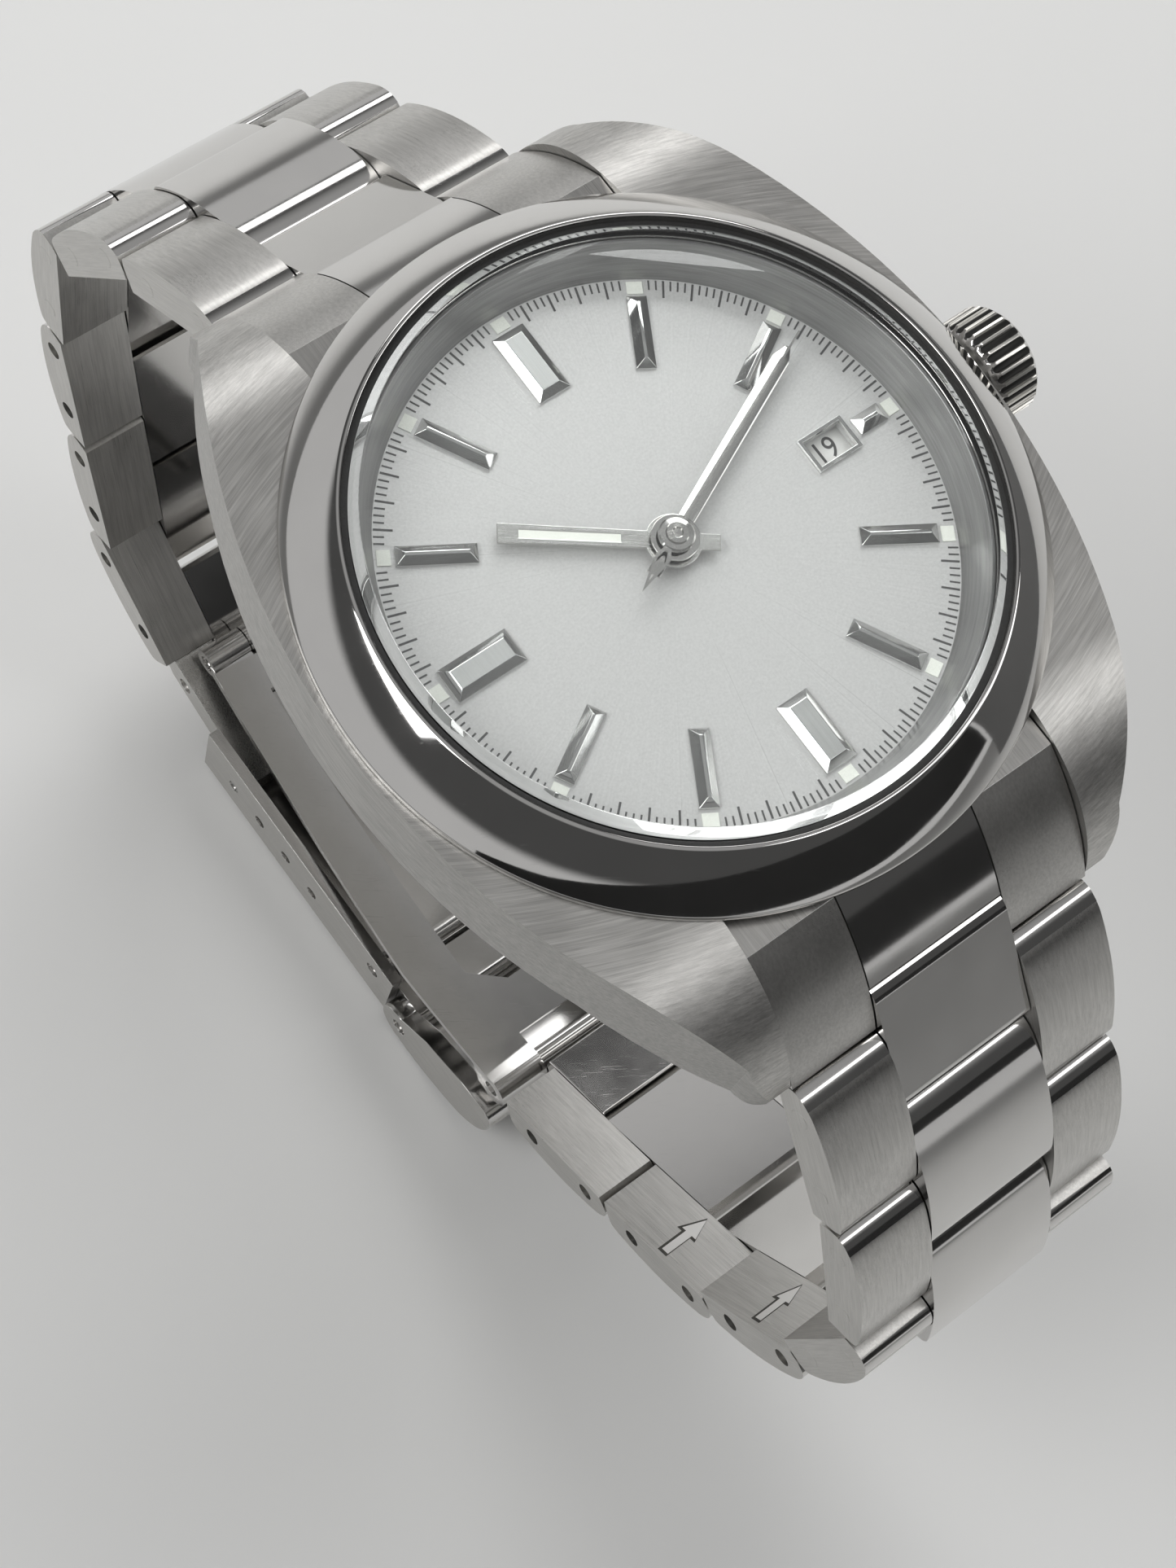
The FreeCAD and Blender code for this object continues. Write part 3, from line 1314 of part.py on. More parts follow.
def inner_blade():
    """The bowed blade that lies against the wrist; its end block holds the last hinge pin."""
    spots = clasp_spots()
    fold_y, fold_z = spots["fold"]
    far_y, far_z = spots["far"]
    half_sheet = s.blade_sheet / 2
    crest = far_z + s.blade_sheet
    side = across("inner_blade_side", s.blade_end, [[
        (fold_y, fold_z + half_sheet, s.blade_bow),
        (far_y + s.end_block * 0.6, crest + s.block_rise),
        (far_y, far_z + s.end_block, -s.end_block),
        (far_y - s.end_block, far_z, -s.end_block),
        (far_y, far_z - s.end_block),
        (far_y + s.end_block * 0.8, far_z - s.end_block * 0.9),
        (far_y + s.end_block * 1.5, crest + s.block_rise - s.blade_sheet, -(s.blade_bow + s.blade_sheet)),
        (fold_y, fold_z - half_sheet),
    ]])
    waist = s.blade_wide / 2
    reach = s.blade_end / 2
    slot = s.blade_slot / 2
    slot_end = far_y + s.slot_from
    plan = slab("inner_blade_plan", far_z - s.shell_high, far_z + s.shell_high, [
        [
            (-waist, fold_y),
            (waist, fold_y),
            (reach, far_y + s.blade_flare),
            (reach, far_y - s.end_block * 2),
            (-reach, far_y - s.end_block * 2),
            (-reach, far_y + s.blade_flare),
        ],
        [
            (-slot * 0.75, fold_y - s.slot_to),
            (slot * 0.75, fold_y - s.slot_to),
            (slot, slot_end + s.slot_taper),
            (slot * 0.55, slot_end),
            (-slot * 0.55, slot_end),
            (-slot, slot_end + s.slot_taper),
        ],
    ])
    room = s.knuckle + s.slot_room
    ear_at = s.knuckle_wide / 2 + s.ear_gap
    middle = box("inner_blade_middle", -ear_at, fold_y - room, fold_z - room, ear_at * 2, room * 2, room * 2)
    open_wide = s.centre_wide + s.side_gap * 2
    notch = box("inner_blade_notch", -open_wide / 2, far_y - s.end_block * 2, far_z - s.end_block * 2,
                open_wide, s.end_block * 3.4, s.end_block * 4)
    ears = [
        rod(f"inner_blade_ear_{n}", s.knuckle, waist - ear_at, x, fold_y, fold_z, "x")
        for n, x in (("left", -waist), ("right", ear_at))
    ]
    plate = cut("inner_blade_plate", common("inner_blade_blank", side, plan), middle, notch)
    bores = [
        cross_rod("inner_blade_fold_bore", s.pin_radius, s.blade_wide * 1.2, fold_y, fold_z),
        cross_rod("inner_blade_far_bore", s.pin_radius, s.blade_end * 1.2, far_y, far_z),
    ]
    bored = cut("inner_blade_bored", fuse("inner_blade_whole", plate, *ears), *bores)
    pins = [
        cross_rod("inner_blade_fold_pin", s.pin_radius, s.blade_wide - s.pin_sunk, fold_y, fold_z),
        cross_rod("inner_blade_far_pin", s.pin_radius, s.blade_end - s.pin_sunk * 2, far_y, far_z),
    ]
    node("inner_blade", fuse("inner_blade", bored, *pins))


def safety_catch():
    """The fold-over catch: a curved cover with two side walls, on the pin of the shell's tongue."""
    y, z = clasp_spots()["catch"]
    whole = across("catch_side", s.catch_wide, [[
        (y, z + s.catch_nose, s.catch_nose),
        (y + s.catch_nose, z, s.catch_nose),
        (y, z - s.catch_nose, s.catch_bow),
        (y - s.catch_long * 0.7, z - s.catch_sheet * 1.3, s.catch_turn),
        (y - s.catch_long, z + s.catch_high * 0.72, s.catch_lip),
        (y - s.catch_long * 0.91, z + s.catch_high),
        (y - s.catch_long * 0.65, z + s.catch_high * 0.96),
        (y - s.catch_back, z + s.catch_high * 0.72),
    ]], [(y, z, s.pin_radius + s.run_clear)])
    top = z + s.catch_high * 1.2
    side = y + s.catch_nose * 1.2
    inside = across("catch_inside", s.catch_wide - s.catch_wall * 2, [[
        (y - s.catch_back, top),
        (side, top),
        (side, z - s.catch_nose * 1.2),
        (y, z - s.catch_nose * 1.2),
        (y, z - s.catch_nose + s.catch_sheet, s.catch_bow - s.catch_sheet),
        (y - s.catch_long * 0.68, z - s.catch_sheet * 0.3, s.catch_turn - s.catch_sheet),
        (y - s.catch_long + s.catch_sheet, z + s.catch_high * 0.72),
        (y - s.catch_long * 0.87, top),
    ]])
    node("safety_catch", cut("safety_catch", whole, inside))


# ---------------------------------------------------------------- the whole watch
def build():
    """Builds every sub-part, checks it and writes its file."""
    for step in (mid_case, bezel, crystal, case_back, gaskets, dial, markers, hands, date_disc, main_plate,
                 bridges, movement_screws, rotor, barrel, escapement, balance, crown, spring_bars):
        step()
    node("end_links", group("end_links", [end_link("12"), end_link("6")]))
    for side in ("12", "6"):
        bracelet_half(side)
    for step in (clasp_end_link, clasp_shell, outer_blade, inner_blade, safety_catch):
        step()
    doc.recompute()
    for thing in doc.Objects:
        if "Invalid" in thing.State or "Error" in thing.State:
            raise RuntimeError(f"{thing.Name} failed: {thing.State}")
    for name, thing in nodes:
        if thing.Shape.isNull() or not thing.Shape.isValid() or not thing.Shape.Solids:
            raise RuntimeError(f"{name} has no valid shape")
    os.makedirs("parts", exist_ok=True)
    for name, thing in nodes:
        thing.Shape.exportStep(f"parts/{name}.step")
    print(len(nodes), "sub-parts")


build()
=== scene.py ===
# %% [markdown]
# # Dressing a steel wristwatch
# The packed CAD model holds every piece of the watch at its real size and place. This notebook
# gives the pieces their looks: rounded edges that catch the light, brushed and polished steel, a
# silvered dial with a printed track, luminous strips, sapphire, and a plain pale studio. The frame
# is loaded first, because every later size and place is worked out from it.

# %% Load the frame
import json
import math

import bmesh
import bpy
from mathutils import Euler, Matrix, Vector

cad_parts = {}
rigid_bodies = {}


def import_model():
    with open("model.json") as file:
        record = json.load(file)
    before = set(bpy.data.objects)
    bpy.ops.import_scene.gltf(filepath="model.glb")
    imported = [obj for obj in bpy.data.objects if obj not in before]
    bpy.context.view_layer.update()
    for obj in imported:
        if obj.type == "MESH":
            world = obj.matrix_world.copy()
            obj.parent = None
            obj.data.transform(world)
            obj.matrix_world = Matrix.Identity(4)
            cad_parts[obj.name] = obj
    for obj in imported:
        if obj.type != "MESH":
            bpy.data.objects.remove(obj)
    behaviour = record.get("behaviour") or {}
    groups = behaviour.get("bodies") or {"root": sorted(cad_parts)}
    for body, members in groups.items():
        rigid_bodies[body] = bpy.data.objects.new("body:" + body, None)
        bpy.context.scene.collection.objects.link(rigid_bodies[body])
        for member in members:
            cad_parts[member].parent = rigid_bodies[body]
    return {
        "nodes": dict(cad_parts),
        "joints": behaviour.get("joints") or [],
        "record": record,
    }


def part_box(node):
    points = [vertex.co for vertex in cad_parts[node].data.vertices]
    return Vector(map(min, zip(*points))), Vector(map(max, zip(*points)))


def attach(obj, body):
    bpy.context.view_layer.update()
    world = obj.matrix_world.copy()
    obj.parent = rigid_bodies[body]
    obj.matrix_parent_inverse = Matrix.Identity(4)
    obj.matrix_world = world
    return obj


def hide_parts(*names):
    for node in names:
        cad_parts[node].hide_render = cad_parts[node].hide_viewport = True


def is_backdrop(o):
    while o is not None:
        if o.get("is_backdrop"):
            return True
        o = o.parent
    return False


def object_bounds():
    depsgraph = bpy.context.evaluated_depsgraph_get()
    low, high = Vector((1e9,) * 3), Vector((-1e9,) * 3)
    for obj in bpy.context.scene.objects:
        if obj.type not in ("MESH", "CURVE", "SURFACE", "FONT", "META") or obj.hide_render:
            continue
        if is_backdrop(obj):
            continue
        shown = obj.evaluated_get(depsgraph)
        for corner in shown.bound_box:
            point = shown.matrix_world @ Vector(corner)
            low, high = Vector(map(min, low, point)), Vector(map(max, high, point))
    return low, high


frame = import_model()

MM = 0.001
X, Y, Z = Vector((1, 0, 0)), Vector((0, 1, 0)), Vector((0, 0, 1))
nodes = frame["nodes"]
cad_low, cad_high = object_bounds()
body_of = {name: body for body, names in frame["record"]["behaviour"]["bodies"].items() for name in names}
joint_at = {joint["child"]: joint for joint in frame["joints"]}
print("box in mm:", [round((high - low) / MM, 1) for low, high in zip(cad_low, cad_high)])

# %% [markdown]
# ## Shader sums
# A material is a small sum over the surface: how rough, how bright, how tilted. Wiring such sums
# by hand hides them in boxes, so here one class wraps an output socket and turns `a * 2 + b`
# into Math nodes. Colours and vectors don't go through Math nodes, which would turn them grey:
# they have Mix and Vector Math. Every node is made by one method, which sets the node's own
# settings first, because some of them change which sockets the node has.

# %% Numbers on a surface
class Value:
    """One output socket of a node tree, used as a number in a sum."""

    def __init__(self, nodes_of, socket):
        self.nodes_of = nodes_of
        self.socket = socket

    def math(self, operation, *values):
        return self.nodes_of.node("ShaderNodeMath", {"operation": operation}, dict(enumerate(values)))

    def __add__(self, other):
        return self.math("ADD", self, other)

    def __sub__(self, other):
        return self.math("SUBTRACT", self, other)

    def __rsub__(self, other):
        return self.math("SUBTRACT", other, self)

    def __mul__(self, other):
        return self.math("MULTIPLY", self, other)

    def __truediv__(self, other):
        return self.math("DIVIDE", self, other)

    def __rtruediv__(self, other):
        return self.math("DIVIDE", other, self)

    def __pow__(self, other):
        return self.math("POWER", self, other)

    def __mod__(self, other):
        return self.math("FLOORED_MODULO", self, other)

    def __abs__(self):
        return self.math("ABSOLUTE", self)

    __radd__ = __add__
    __rmul__ = __mul__

    def above(self, edge, soft):
        """0 under an edge, 1 over it, with a soft step between."""
        sockets = {"Value": self, "From Min": edge - soft, "From Max": edge + soft}
        return self.nodes_of.node("ShaderNodeMapRange", {"interpolation_type": "SMOOTHSTEP"}, sockets)


print("names behind the signs:", [name for name in vars(Value) if name.startswith("__")])

# %% [markdown]
# Besides the one method that makes any node, a tree has short names for the few kinds that the
# finishes use again and again: mixing two colours, taking a vector apart, and two textures. The
# textures are measured in millimetres, so a scratch or a blob can be given its real size.

# %% Nodes of a tree
class Nodes:
    """A node tree, and the few kinds of node that its sums need."""

    def __init__(self, tree):
        self.tree = tree

    def node(self, kind, settings=None, sockets=None, out=0):
        """A new node with its settings, then its sockets by name or place; gives one output."""
        node = self.tree.nodes.new(kind)
        for name, setting in (settings or {}).items():
            setattr(node, name, setting)
        for name, value in (sockets or {}).items():
            self.set(node.inputs[name], value)
        return Value(self, node.outputs[out])

    def set(self, socket, value):
        """Links a socket to a Value, or sets it to a number, vector or colour."""
        if isinstance(value, Value):
            self.tree.links.new(value.socket, socket)
        elif socket.type == "RGBA":
            socket.default_value = (*value[:3], 1.0)
        else:
            socket.default_value = value

    def mix(self, share, low, high):
        """A colour between two others."""
        return self.node("ShaderNodeMix", {"data_type": "RGBA"}, {0: share, 6: low, 7: high}, out=2)

    def vector(self, operation, first, second=(0, 0, 0), scale=1.0):
        return self.node("ShaderNodeVectorMath", {"operation": operation}, {0: first, 1: second, 3: scale})

    def parts(self, vector):
        """The three numbers of a vector."""
        first = self.node("ShaderNodeSeparateXYZ", None, {0: vector})
        return [Value(self, socket) for socket in first.socket.node.outputs]

    def join(self, x, y, z):
        return self.node("ShaderNodeCombineXYZ", None, {0: x, 1: y, 2: z})

    def noise(self, vector, sizes, detail=2.0, roughness=0.5):
        """Smooth noise between 0 and 1, whose blobs have the given sizes in millimetres."""
        scaled = self.vector("DIVIDE", vector, sizes)
        return self.node("ShaderNodeTexNoise", None, {
            "Vector": scaled, "Scale": 1.0, "Detail": detail, "Roughness": roughness,
        })

    def cells(self, vector, size, randomness=1.0):
        """Distance from the nearest of many scattered points, in parts of the size."""
        scaled = self.vector("SCALE", vector, scale=1 / size)
        return self.node("ShaderNodeTexVoronoi", None, {
            "Vector": scaled, "Scale": 1.0, "Randomness": randomness,
        })


print("shader tools:", [name for name in vars(Nodes) if not name.startswith("_")])

# %% [markdown]
# A finish is one Principled shader with the sums that feed it. Its patterns are laid out in the
# part's own frame or along the piece's own grain, never by where the camera stands, so that a
# scratch stays where it is on the metal.

# %% A finish
class Finish(Nodes):
    """A material with one Principled shader, and the sums that feed it."""

    def __init__(self, name, colour, metallic, roughness, **sockets):
        self.material = bpy.data.materials.new(name)
        self.material.use_nodes = True
        super().__init__(self.material.node_tree)
        self.shader = self.tree.nodes["Principled BSDF"]
        self.output = self.tree.nodes["Material Output"]
        self.feed(Base_Color=colour, Metallic=metallic, Roughness=roughness, **sockets)

    def feed(self, **sockets):
        """Sets or links sockets of the Principled shader."""
        for name, value in sockets.items():
            self.set(self.shader.inputs[name.replace("_", " ")], value)
        return self

    def place(self):
        """The point in millimetres, in the part's own frame."""
        return self.vector("SCALE", self.node("ShaderNodeTexCoord", None, out=3), scale=1 / MM)

    def grain(self):
        """The point along, across and up the piece, in millimetres."""
        return self.node("ShaderNodeAttribute", {"attribute_name": "grain"}, out=1)

    def round_grain(self, behind=0.0):
        """The point along and across arcs about the dial's axis, or about a centre beyond it."""
        x, y, z = self.parts(self.place())
        away = abs(y) + behind if behind else y
        radius = (x * x + away * away) ** 0.5
        turn = x.math("ARCTAN2", x, away)
        return self.join(turn * radius, radius, z)

    def clouded(self, size, low, high, detail=2.0):
        """Blends the colour between two by blobs of one size, and gives that noise."""
        cloud = self.noise(self.place(), (size, size, size), detail)
        self.feed(Base_Color=self.mix(cloud, low, high))
        return cloud

    def bump(self, height, depth):
        """A surface tilted by a height between 0 and 1, for a depth in millimetres."""
        sockets = {"Height": height, "Distance": depth * MM, "Strength": 1.0}
        return self.feed(Normal=self.node("ShaderNodeBump", None, sockets))


print("finish tools:", [name for name in vars(Finish) if not name.startswith("_")])

# %% [markdown]
# ## Steel
# The case and bracelet are stainless steel, a slightly warm grey. A brushed face is scratched one
# way by an abrasive belt; each scratch tilts the light across its run, so a highlight spreads
# into a band. An anisotropic shader would give the band without the scratches. Noise that is
# stretched many times along the grain gives both: it tilts the surface, and it shifts tone and
# roughness a little.

# %% Brushed steel
STEEL = (0.57, 0.56, 0.54)
BRIGHT_STEEL = (0.66, 0.65, 0.635)


def shade(colour, factor):
    return tuple(min(part * factor, 1.0) for part in colour)


def brushed(name, colour=STEEL, rough=0.3, depth=0.0035, lines=0.09, contrast=0.3, grain=Finish.grain):
    """Steel scratched along the first part of its grain; lines is the width of a coarse scratch."""
    steel = Finish(name, colour, 1.0, rough)
    way = grain(steel)
    hair = steel.noise(way, (7.0, lines * 0.4, lines * 0.4), 3.0, 0.7)
    stroke = steel.noise(way, (3.2, lines * 2.2, lines * 2.2), 2.0, 0.6)
    cloud = steel.noise(steel.place(), (3.5, 3.5, 3.5))
    tone = (hair * 0.45 + stroke * 0.4 + cloud * 0.15).above(0.5, 0.24)
    steel.feed(
        Base_Color=steel.mix(tone, shade(colour, 1 - contrast), shade(colour, 1 + contrast)),
        Roughness=rough + (hair - 0.5) * 0.25 + (cloud - 0.5) * 0.1,
    )
    return steel.bump(hair * 0.6 + stroke * 0.4, depth)


case_brushed = brushed("case_brushed", rough=0.38, contrast=0.32, lines=0.07, depth=0.007,
                       grain=lambda steel: steel.round_grain(25.0))
# painted shade: the satin is painted darker than the steel, for the case's flanks and underside
satin = brushed("shaded_satin_steel", shade(STEEL, 0.74), contrast=0.3, rough=0.42, depth=0.005, lines=0.07)
link_brushed = brushed("link_brushed", rough=0.32, contrast=0.2, lines=0.07, depth=0.004)
link_side = brushed("link_side", shade(STEEL, 0.96), contrast=0.16, rough=0.4, depth=0.003, lines=0.05)
brushed_steels = (case_brushed, satin, link_brushed, link_side)
print("brushed steels:", [finish.material.name for finish in brushed_steels])

# %% [markdown]
# Polishing takes the grain away. What is left on a worn polished link is a slow smear from the
# wheel, swirls from wiping, and a few hairlines. Three noises of different sizes make them, and
# they move the roughness and the tilt by very little, because a mirror shows the smallest change.

# %% Polished steel
def polished(name, colour=BRIGHT_STEEL, rough=0.09, wear=0.5):
    """Steel polished on a wheel, with smears, fine swirls and a few hairline scratches."""
    steel = Finish(name, colour, 1.0, rough)
    place = steel.place()
    smear = steel.noise(place, (2.6, 3.4, 2.8), 3.0)
    swirl = steel.noise(place, (0.9, 1.4, 1.1), 3.0, 0.6)
    slant = {"Vector": place, "Axis": (0.3, 0.2, 0.93), "Angle": 0.7}
    slanted = steel.node("ShaderNodeVectorRotate", None, slant)
    hairline = steel.noise(slanted, (3.4, 0.05, 0.3), 2.0).above(0.7, 0.02) * wear
    steel.feed(
        Base_Color=steel.mix(smear, shade(colour, 0.93), shade(colour, 1.03)),
        Roughness=rough + (smear - 0.45) * 0.07 + hairline * 0.14,
    )
    return steel.bump(swirl * 0.5 - hairline * 0.3, 0.0012)


edge_polish = polished("edge_polish", rough=0.15, wear=0.3)
link_polish = polished("link_polish", rough=0.1)
bezel_mirror = polished("bezel_mirror", rough=0.05, wear=0.35)
print("polished steels:", [finish.material.name for finish in (edge_polish, link_polish, bezel_mirror)])

# %% [markdown]
# ## Rounded edges
# The CAD solids have knife edges. Real ones don't: a polishing wheel breaks every edge, and on a
# brushed piece that thin bright bevel is what draws its outline. A Bevel modifier could do this,
# but bmesh lets the script choose the edges and give the new faces a material of their own, so
# the bevels are polished while the faces beside them stay brushed.

# %% From a CAD mesh to a rounded one
SHARP = math.radians(26)
FLAT = math.radians(0.3)
WELD = 0.0005 * MM
SLIVER = 0.004 * MM
EDGE = 1  # the finish slot of bevels
SHORT = 0.6  # an edge shorter than this share of the bevel's width stays as it is
FULLNESS = 0.6  # the bevel's section: 0.5 is an arc, 1 a sharp corner


def clean_copy(node):
    """A copy of a CAD node's mesh, with its split corners welded and its flat faces whole."""
    bm = bmesh.new()
    bm.from_mesh(nodes[node].data)
    bmesh.ops.remove_doubles(bm, verts=bm.verts, dist=WELD)
    bmesh.ops.dissolve_limit(bm, angle_limit=FLAT, verts=bm.verts, edges=bm.edges)
    for face in bm.faces:
        face.material_index = 0
    return bm


def drop_slivers(bm):
    """Takes out the empty faces and tiny edges that cuts leave behind."""
    bmesh.ops.remove_doubles(bm, verts=bm.verts, dist=SLIVER)
    bmesh.ops.dissolve_degenerate(bm, edges=bm.edges, dist=SLIVER)


def round_edges(bm, width, spared=None):
    """Puts a bevel on every sharp edge that isn't spared."""
    edges = [
        edge for edge in bm.edges
        if len(edge.link_faces) == 2 and edge.calc_face_angle(0) > SHARP
        and edge.calc_length() > width * SHORT and not (spared and spared(edge))
    ]
    bmesh.ops.bevel(
        bm, geom=edges, offset=width, offset_type="OFFSET", segments=2, profile=FULLNESS,
        affect="EDGES", clamp_overlap=True, loop_slide=True, material=EDGE,
    )


sample = clean_copy("mid_case")
print("case:", len(nodes["mid_case"].data.polygons), "CAD faces,", len(sample.faces), "once made whole")
sample.free()

# %% [markdown]
# Few pieces lie square to the frame: each row of the bracelet hangs at its own angle. A lie is a
# piece's own set of ways, along, across and up. A question such as "is this face a side?" is
# asked in it, so that one rule serves every row. Each corner's place in it is stored in an
# attribute called grain, which the brushing follows.

# %% Lie and grain
class Lie:
    """How a piece lies: its origin, and the ways that count as along and up."""

    def __init__(self, origin=Vector(), along=Y, up=Z):
        self.origin = origin
        self.ways = (along, up.cross(along), up)

    def of(self, point):
        """A point as (along, across, up), in millimetres."""
        return Vector([(point - self.origin).dot(way) / MM for way in self.ways])

    def turned(self, normal):
        """A direction as its shares along, across and up."""
        return Vector([normal.dot(way) for way in self.ways])

    def back(self, along, across, up):
        """The point of the frame that lies so many millimetres along, across and up."""
        steps = (way * part * MM for way, part in zip(self.ways, (along, across, up)))
        return self.origin + sum(steps, Vector())


def store_grain(mesh, lie):
    """Keeps each corner's place along, across and up the piece."""
    grain = mesh.attributes.new("grain", "FLOAT_VECTOR", "POINT")
    for vertex, item in zip(mesh.vertices, grain.data):
        item.vector = lie.of(vertex.co)


print("a plain lie runs along", tuple(Lie().ways[0]), "and its up is", tuple(Lie().ways[2]))

# %% [markdown]
# ### Mirrors without ripples
# A polished link is a mirror, and a mirror shows every fault of its shading. Blender shades a
# curve by blending the normals of the faces that meet at a corner, so the small bevel at a link's
# side would bend the reflections beside it. But a link has the same outline all the way across.
# So its normals come from that outline alone: they turn evenly from one narrow face to the next,
# a broad flat keeps its own, and a bevel takes those of the faces that it joins. Other pieces are
# less like mirrors, and for them a Weighted Normal modifier is enough.

# %% Faces along an outline
SMOOTH = math.radians(34)
SIDEWAYS = 0.5  # a face that leans across by more is a side, and no part of the outline
THIN = 0.01  # narrower faces say nothing about the outline
BROAD = 3.0  # a face so many times as wide as its narrowest neighbour keeps its own normal


def outline_spot(vertex, lie):
    """Where a corner lies on the outline."""
    place = lie.of(vertex.co)
    return round(place.x, 2), round(place.z, 2)


def faces_at_spots(bm, lie):
    """The normals and widths of the faces that meet at each spot of the outline."""
    beside = {}
    for face in bm.faces:
        normal = lie.turned(face.normal)
        if face.material_index == EDGE or abs(normal.y) >= SIDEWAYS:
            continue
        places = [lie.of(vertex.co) for vertex in face.verts]
        run = [place.x * normal.z - place.z * normal.x for place in places]
        width = max(run) - min(run)
        if width > THIN:
            for vertex in face.verts:
                beside.setdefault(outline_spot(vertex, lie), []).append((face.normal, width))
    return beside


print("corners are blended up to", round(math.degrees(SMOOTH)), "degrees")

# %% [markdown]
# With those faces known, every corner of every face gets a normal of its own. Blender keeps such normals as
# custom ones, which the renderer honours.

# %% A normal for every corner
def even_turn(own, beside):
    """The outline's normal at a spot, where a narrow face counts for more than a wide one."""
    like = [(normal, width) for normal, width in beside if normal.dot(own) > math.cos(SMOOTH)]
    if not like:
        return own.copy()
    broadest = max(like, key=lambda item: item[1])
    if broadest[1] > BROAD * min(width for normal, width in like):
        return broadest[0].copy()
    return sum((normal / width for normal, width in like), Vector()).normalized()


def outline_normals(bm, lie):
    """A normal for every corner of every face, in the order in which a mesh keeps them."""
    beside = faces_at_spots(bm, lie)
    normals = []
    for face in bm.faces:
        for vertex in face.verts:
            near = [face]
            if face.material_index == EDGE:
                near = [other for other in vertex.link_faces if other.material_index != EDGE]
            if not near:
                around = sum((other.normal for other in vertex.link_faces), Vector())
                normals.append(around.normalized())
                continue
            own = max(near, key=lambda other: other.calc_area()).normal
            if abs(lie.turned(own).y) > SIDEWAYS:
                normals.append(own.copy())
            else:
                normals.append(even_turn(own, beside.get(outline_spot(vertex, lie), [])))
    return normals


print("a flat over", BROAD, "times as wide as its narrowest neighbour keeps its own normal")

# %% [markdown]
# A piece is settled when it has its finishes, its smooth faces, the body that it rides on and the
# CAD nodes that it stands in for. Faces that meet at a small angle are shaded as one curve, and
# the others stay sharp.

# %% Settling a piece
def settle(name, bm, finishes, body, replaced=(), lie=None, outlined=False):
    """Makes an object of a mesh and lets it ride on a body; outlined asks for an outline's normals."""
    mesh = bpy.data.meshes.new(name)
    bm.normal_update()
    corners = outline_normals(bm, lie) if outlined else None
    bm.to_mesh(mesh)
    bm.free()
    for finish in finishes:
        mesh.materials.append(finish.material)
    store_grain(mesh, lie or Lie())
    mesh.shade_smooth()
    mesh.set_sharp_from_angle(angle=SMOOTH)
    piece = bpy.data.objects.new(name, mesh)
    bpy.context.scene.collection.objects.link(piece)
    if outlined:
        mesh.normals_split_custom_set(corners)
    else:
        weigh = piece.modifiers.new("flat_faces", "WEIGHTED_NORMAL")
        weigh.keep_sharp = True
    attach(piece, body)
    if replaced:
        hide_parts(*replaced)
    return piece


# %% [markdown]
# Dressing a node stands a rounded copy in for the CAD mesh. The copy can be reshaped before its
# edges are rounded or after, and a zone rule gives each face one of the piece's finishes. Nodes
# that nobody sees up close keep their shape and only get a coat.

# %% Dressing a node
def dress(node, finishes, width, lie=None, zone=None, shape=None, before=None, spared=None, outlined=False):
    """Stands a rounded copy in for a CAD node; zone picks a finish from a face's place and normal."""
    lie = lie or Lie()
    bm = clean_copy(node)
    if before:
        before(bm, lie)
        drop_slivers(bm)
    round_edges(bm, width, spared and (lambda edge: spared(edge, lie)))
    if before:
        drop_slivers(bm)
    if shape:
        shape(bm)
    if zone:
        for face in bm.faces:
            if face.material_index == 0:
                face.material_index = zone(lie.of(face.calc_center_median()), lie.turned(face.normal))
    return settle(node + "_piece", bm, finishes, body_of[node], [node], lie, outlined)


def coat(finish, *names):
    """Gives CAD nodes whose shape stays a better material."""
    for name in names:
        nodes[name].material_slots[0].material = finish.material


print("CAD nodes to dress or coat:", len(nodes))

# %% [markdown]
# ## Solids drawn by hand
# Print, luminous strips, arrows and hands are thin shapes that the CAD model leaves plain. A
# prism stands an outline up, a lathe turns a profile, and both only join rings of points with
# faces. Thick curves or a Screw modifier could make them too, but rings need no modifier and put
# every corner exactly where it is asked for. A solid's two ends are closed; a hoop's last ring is
# joined to its first.

# %% Rings, prisms and turned shapes
AXIS = 0.02  # a turned solid's points keep this far from its axis


def close_rings(bm, rings):
    """Faces between rings of points, with both ends closed."""
    for lower, upper in zip(rings, rings[1:]):
        for i, corner in enumerate(lower):
            after = (i + 1) % len(lower)
            bm.faces.new((corner, lower[after], upper[after], upper[i]))
    bm.faces.new(rings[0][::-1])
    bm.faces.new(rings[-1])


def prism(bm, outline, low, high, turn=0.0, lie=None):
    """A straight-sided solid in millimetres, turned about the dial's axis or set in a lie."""
    spin = Matrix.Rotation(turn, 3, "Z")
    lie = lie or Lie(along=X)
    rings = [
        [bm.verts.new(spin @ lie.back(along, across, height)) for along, across in outline]
        for height in (low, high)
    ]
    close_rings(bm, rings)


def close_hoop(bm, rings):
    """Faces between rings of points, and from the last ring back to the first."""
    for lower, upper in zip(rings, rings[1:] + rings[:1]):
        for i, corner in enumerate(lower):
            after = (i + 1) % len(lower)
            bm.faces.new((corner, lower[after], upper[after], upper[i]))


def lathe(bm, profile, steps=64, hoop=False):
    """A solid turned about the dial's axis from (radius, height) points; a hoop has no middle."""
    ways = [(math.cos(2 * math.pi * i / steps), math.sin(2 * math.pi * i / steps)) for i in range(steps)]
    rings = [
        [bm.verts.new((radius * x * MM, radius * y * MM, height * MM)) for x, y in ways]
        for radius, height in profile
    ]
    (close_hoop if hoop else close_rings)(bm, rings)


def rectangle(left, right, low, high):
    """The four corners of a rectangle, in order."""
    return [(left, low), (right, low), (right, high), (left, high)]


print("a turned solid's points stay", AXIS, "mm off its axis")

